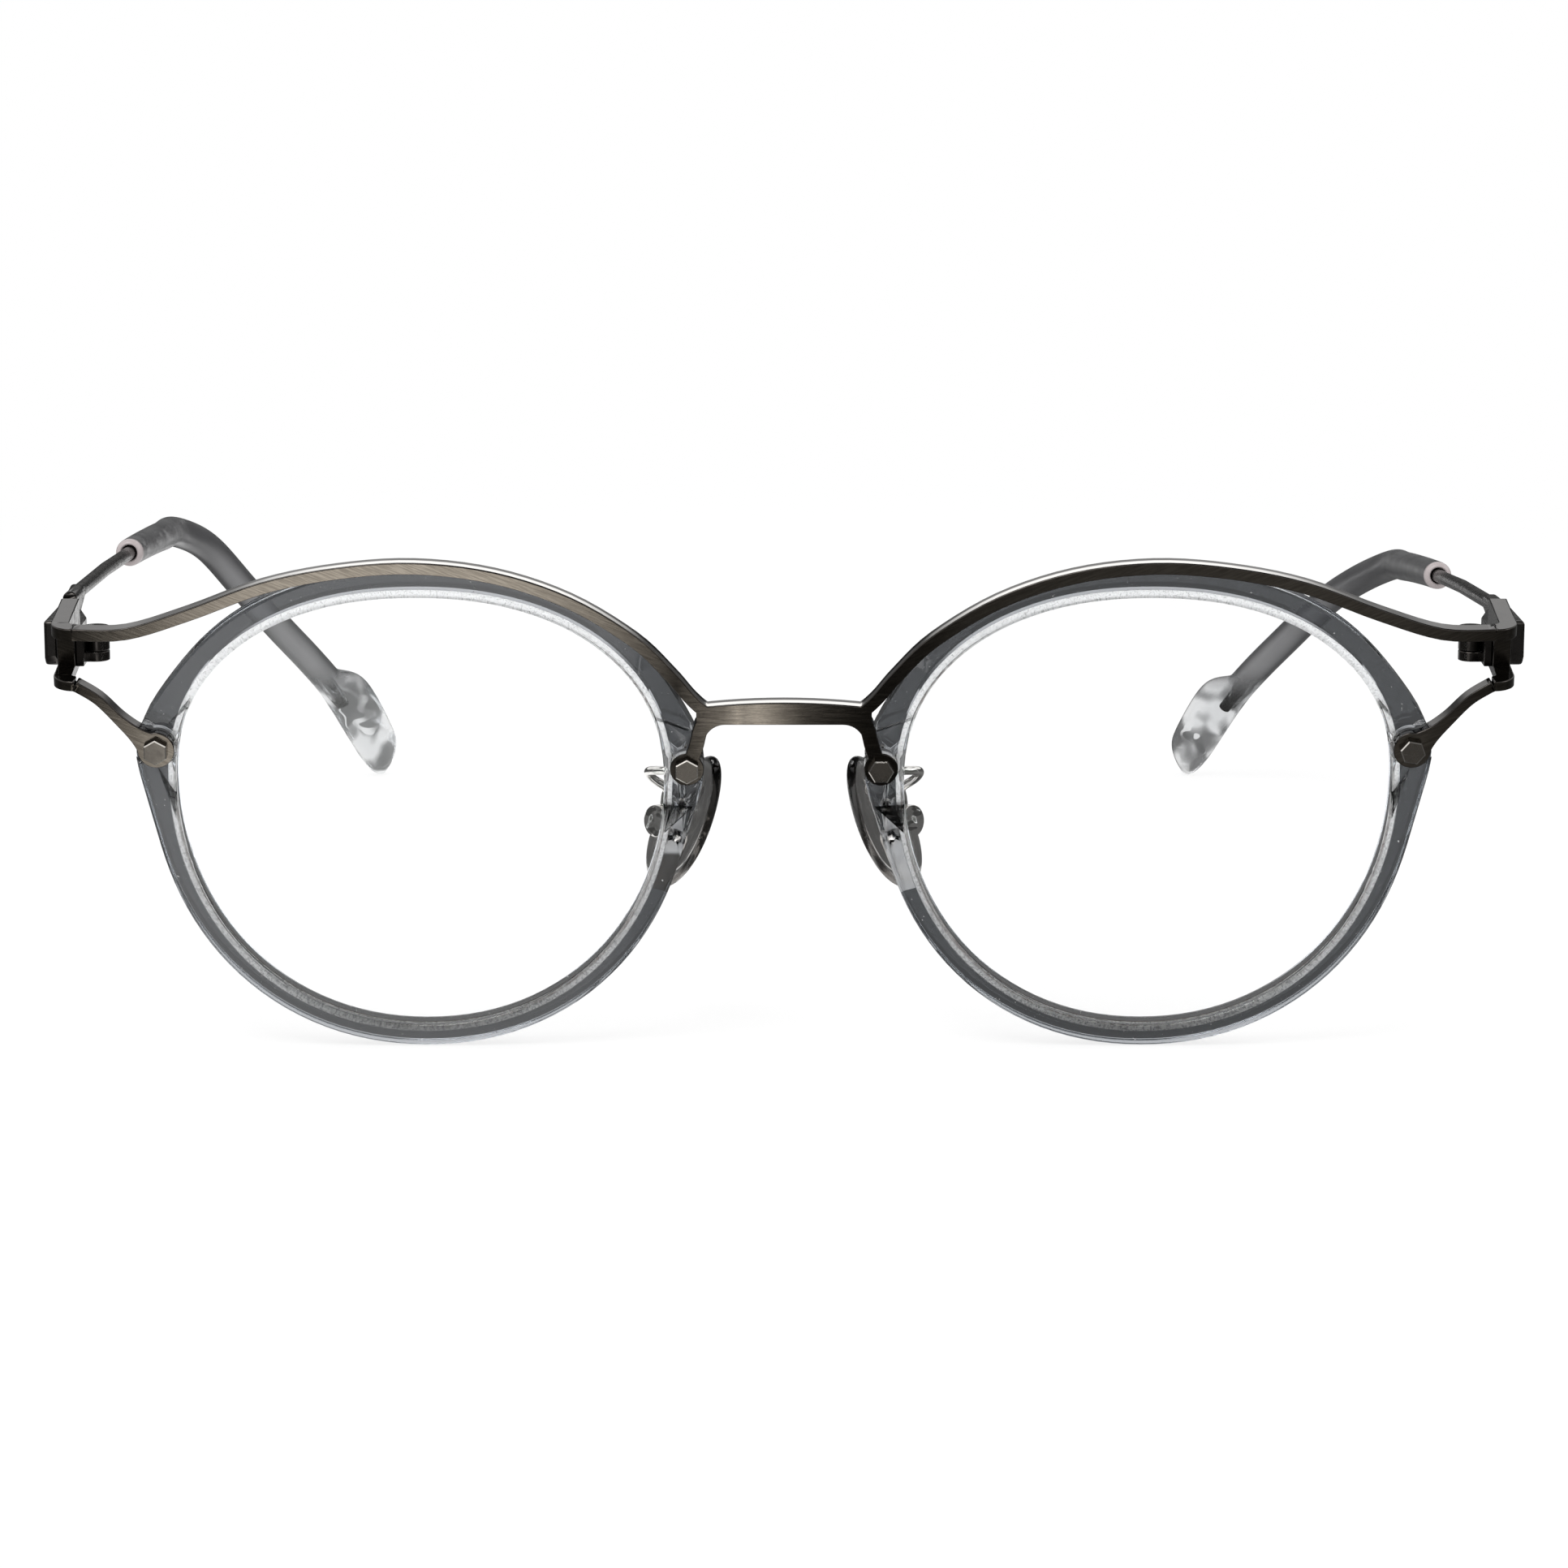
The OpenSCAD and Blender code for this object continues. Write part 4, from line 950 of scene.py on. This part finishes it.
for side in SIDES:
    for leaf in ("front_hinge_" + side, "temple_hinge_" + side):
        dress(welded(leaf), "milled_" + leaf, leaf, [dark_plating_and_painted_shade], HINGE_ROUND, hinge_edge)
    screw = "hinge_screw_" + side
    dress(welded(screw), "slotted_screw_" + side, screw, [chrome],
          HINGE_ROUND / 2, hinge_edge)

# %% [markdown]
# A temple is pressed flat at the hinge and drawn into a wire behind it. Pressing leaves the
# long edges of the flat part well rounded. The wire's own facets meet at small angles, so the
# rule passes them by, and smooth shading makes them round.

# %% Temples
PRESSED_ROUND = 0.34 * MM
LONG_EDGE = 0.6 * MM


def pressed_edge(edge):
    """Only the long edges of the flat part are pressed round."""
    return PRESSED_ROUND if edge.calc_length() > LONG_EDGE else 0.0


for side in SIDES:
    temple = "temple_" + side
    dress(welded(temple), "pressed_" + temple, temple, [wire_metal],
          PRESSED_ROUND, pressed_edge, 3)

# %% [markdown]
# The ear tips are soft, turned shapes without a single flat. Their CAD skin is a net of
# triangles between rings, so pairs of triangles are joined to four-sided faces first, and
# a Subdivision Surface then draws one smooth skin over them. The sawn front end of each tip
# is a little milky, which the material adds near that end.

# %% Ear tips
for side in SIDES:
    tip = "ear_tip_" + side
    dress(pair_triangles(welded(tip, melt=False)), "smooth_tip_" + side, tip,
          [tip_plastic], levels=2)

# %% [markdown]
# Behind the rims sit the bits that hold the nose pads: a flat foot with two pins, a goose-neck
# wire, a round box with a cross screw, and a mount in the back of the pad. The wire is smoothed
# like the tips, and the rest gets fine rounded edges.

# %% Nose pad fittings
FINE_ROUND = 0.05 * MM


def fine_edge(edge):
    """None on the very short edges, which are facets of small round shapes."""
    return FINE_ROUND if edge.calc_length() > 2 * FINE_ROUND else 0.0


for side in SIDES:
    for base in ("pad_foot", "pad_box", "pad_screw", "pad_mount"):
        part = f"{base}_{side}"
        slot, finish = ("gunmetal", foot_plating_painted_shade) if base == "pad_foot" else ("polished_steel", chrome)
        dress(welded(part), "fine_" + part, part, [finish], FINE_ROUND, fine_edge)
    arm = "pad_arm_" + side
    dress(pair_triangles(welded(arm, melt=False)), "bent_arm_" + side, arm,
          [chrome], levels=2)

# %% [markdown]
# The nose pads are cast silicone, clear and slightly soft to look at. Each flat face is inset
# twice, so that smoothing keeps it flat in the middle and rounds only the border.

# %% Nose pads
PAD_BORDER = 0.7 * MM

for side in SIDES:
    bm = pair_triangles(welded("nose_pad_" + side))
    for inset in (PAD_BORDER, 2 * PAD_BORDER):
        flats = [face for face in bm.faces if len(face.verts) > 4]
        bmesh.ops.inset_individual(bm, faces=flats, thickness=inset, depth=0.0)
    dress(bm, "cast_pad_" + side, "nose_pad_" + side, [clear_silicone], levels=2)

# %% [markdown]
# The glasses stand on white paper that runs up into a white background. The camera sees it
# as pure white, except for the faint shadow right under the rims and the tips. Two other kinds
# of rays see it differently. Brushed metal is shaped by what it mirrors, so for mirror rays the
# paper is bright on the left and dark on the right. Clear plastic is shaped by contrast, so for
# rays bent by plastic the paper behind the glasses is grey and the rest is white: flat walls
# look grey, and every rounded edge catches white. The list of mirrored greys runs from left
# to right, in millimetres: it puts the light band on the left bar and on half of the bridge.

# %% Floor and world
FLOOR_HALF = 4.0
FLOOR_GAP = 0.02 * MM
SHADOW_FADE = (0.12, 0.30)
SHADOW_SHARE = 0.22
SEEN_THROUGH = 0.14
BENT_FRONT = 3.4
BENT_FRONT_FADE = (-0.074, -0.064)
BENT_FAR_FADE = (0.240, 0.280)
UNDER_SHARE = 0.8
UNDER_FADE = (-0.090, -0.070)
MIRROR_HALF = 80.0 * MM
MIRROR_GAIN = 1.7
MIRRORED = ((-80, 0.10), (-74, 0.15), (-66, 0.90), (-35, 1.00), (-20, 0.85), (-14, 0.15),
            (-10, 0.04), (-7, 0.25), (-5, 1.00), (-2.5, 0.90), (0, 0.30), (3, 0.08),
            (10, 0.02), (16, 0.08), (35, 0.14), (62, 0.16), (80, 0.10))
ROOM_RISE, ROOM_DIM, ROOM_BRIGHT = (0.20, 0.38), 0.06, 1.10
CEILING_FADE, CEILING_DROP = (0.72, 0.82), 0.95
BEYOND_RISE = (0.05, 0.30)
GLASSES_MIDDLE = 0.03

bm = bmesh.new()
bmesh.ops.create_grid(bm, x_segments=1, y_segments=1, size=FLOOR_HALF)
bmesh.ops.translate(bm, verts=bm.verts, vec=(0.0, 0.0, -FLOOR_GAP))
floor_mesh = bpy.data.meshes.new("paper_floor")
bm.to_mesh(floor_mesh)
bm.free()
floor = bpy.data.objects.new("paper_floor", floor_mesh)
bpy.context.scene.collection.objects.link(floor)


def ray_kinds(paint):
    """1 or 0 for a ray from the camera, a ray bent by plastic, and a mirrored ray, in this order."""
    seen = paint.node("ShaderNodeLightPath", out="Is Camera Ray")
    bent = paint.node("ShaderNodeLightPath", out="Is Transmission Ray")
    mirrored = paint.node("ShaderNodeLightPath", out="Is Glossy Ray") * (1.0 - bent)
    return seen, bent, mirrored


paper = new_paint("white_paper")
across, back, _ = paper.parts(paper.place())
seen, bent, mirrored = ray_kinds(paper)
mirror_level = paper.levels(across, MIRROR_HALF, MIRRORED) * MIRROR_GAIN
mirror_level = mirror_level * paper.step(back, *UNDER_FADE, 1.0, UNDER_SHARE)
bent_front = paper.step(back, *BENT_FRONT_FADE, BENT_FRONT, SEEN_THROUGH)
bent_level = bent_front + paper.step(back, *BENT_FAR_FADE, 0.0, 1.0 - SEEN_THROUGH)
glow = paper.node("ShaderNodeEmission", {}, {
    "Color": WHITE,
    "Strength": 1.0 + mirrored * (mirror_level - 1.0) + bent * (bent_level - 1.0),
})
matt = paper.node("ShaderNodeBsdfDiffuse", {}, {"Color": (0.9, 0.9, 0.9, 1)})
far = paper.node("ShaderNodeVectorMath", {"operation": "LENGTH"}, {0: paper.place()}, "Value")
shaded = paper.step(far, *SHADOW_FADE, SHADOW_SHARE, 0.0) * seen
surface = paper.node("ShaderNodeMixShader", {}, {0: shaded, 1: glow, 2: matt})
floor_mesh.materials.append(paper.finish(surface))

world = bpy.data.worlds.new("studio")
bpy.context.scene.world = world
sky = Paint(world)
_, _, height = sky.parts(sky.node("ShaderNodeTexCoord", out="Generated"))
seen, bent, _ = ray_kinds(sky)
scattered = sky.node("ShaderNodeLightPath", out="Is Diffuse Ray")
room = sky.step(height, *ROOM_RISE, ROOM_DIM, ROOM_BRIGHT)
room = room - sky.step(height, *CEILING_FADE, 0.0, CEILING_DROP)
beyond = sky.step(height, *BEYOND_RISE, SEEN_THROUGH, ROOM_BRIGHT)
plain = seen + (1.0 - seen) * scattered * (1.0 - bent)
level = plain + (1.0 - plain) * (bent * beyond + (1.0 - bent) * room)
backdrop = sky.node("ShaderNodeBackground", {}, {"Color": WHITE, "Strength": level})
sky.finish(backdrop, "ShaderNodeOutputWorld")


def softbox(name, place, width, height, watts):
    """A flat lamp that faces the middle of the glasses."""
    middle = Vector((0.0, 0.0, GLASSES_MIDDLE))
    lamp_data = bpy.data.lights.new(name, "AREA")
    lamp_data.shape = "RECTANGLE"
    lamp_data.size = width
    lamp_data.size_y = height
    lamp_data.energy = watts
    lamp = bpy.data.objects.new(name, lamp_data)
    lamp.location = place
    lamp.rotation_euler = (middle - Vector(place)).to_track_quat("-Z", "Y").to_euler()
    bpy.context.scene.collection.objects.link(lamp)


softbox("key_softbox", (-0.30, -0.45, 0.85), 0.55, 0.45, 4.5)
softbox("fill_softbox", (0.75, -0.25, 0.55), 0.35, 0.35, 0.8)
bpy.context.scene.view_settings.view_transform = "Standard"
print("stage ready")
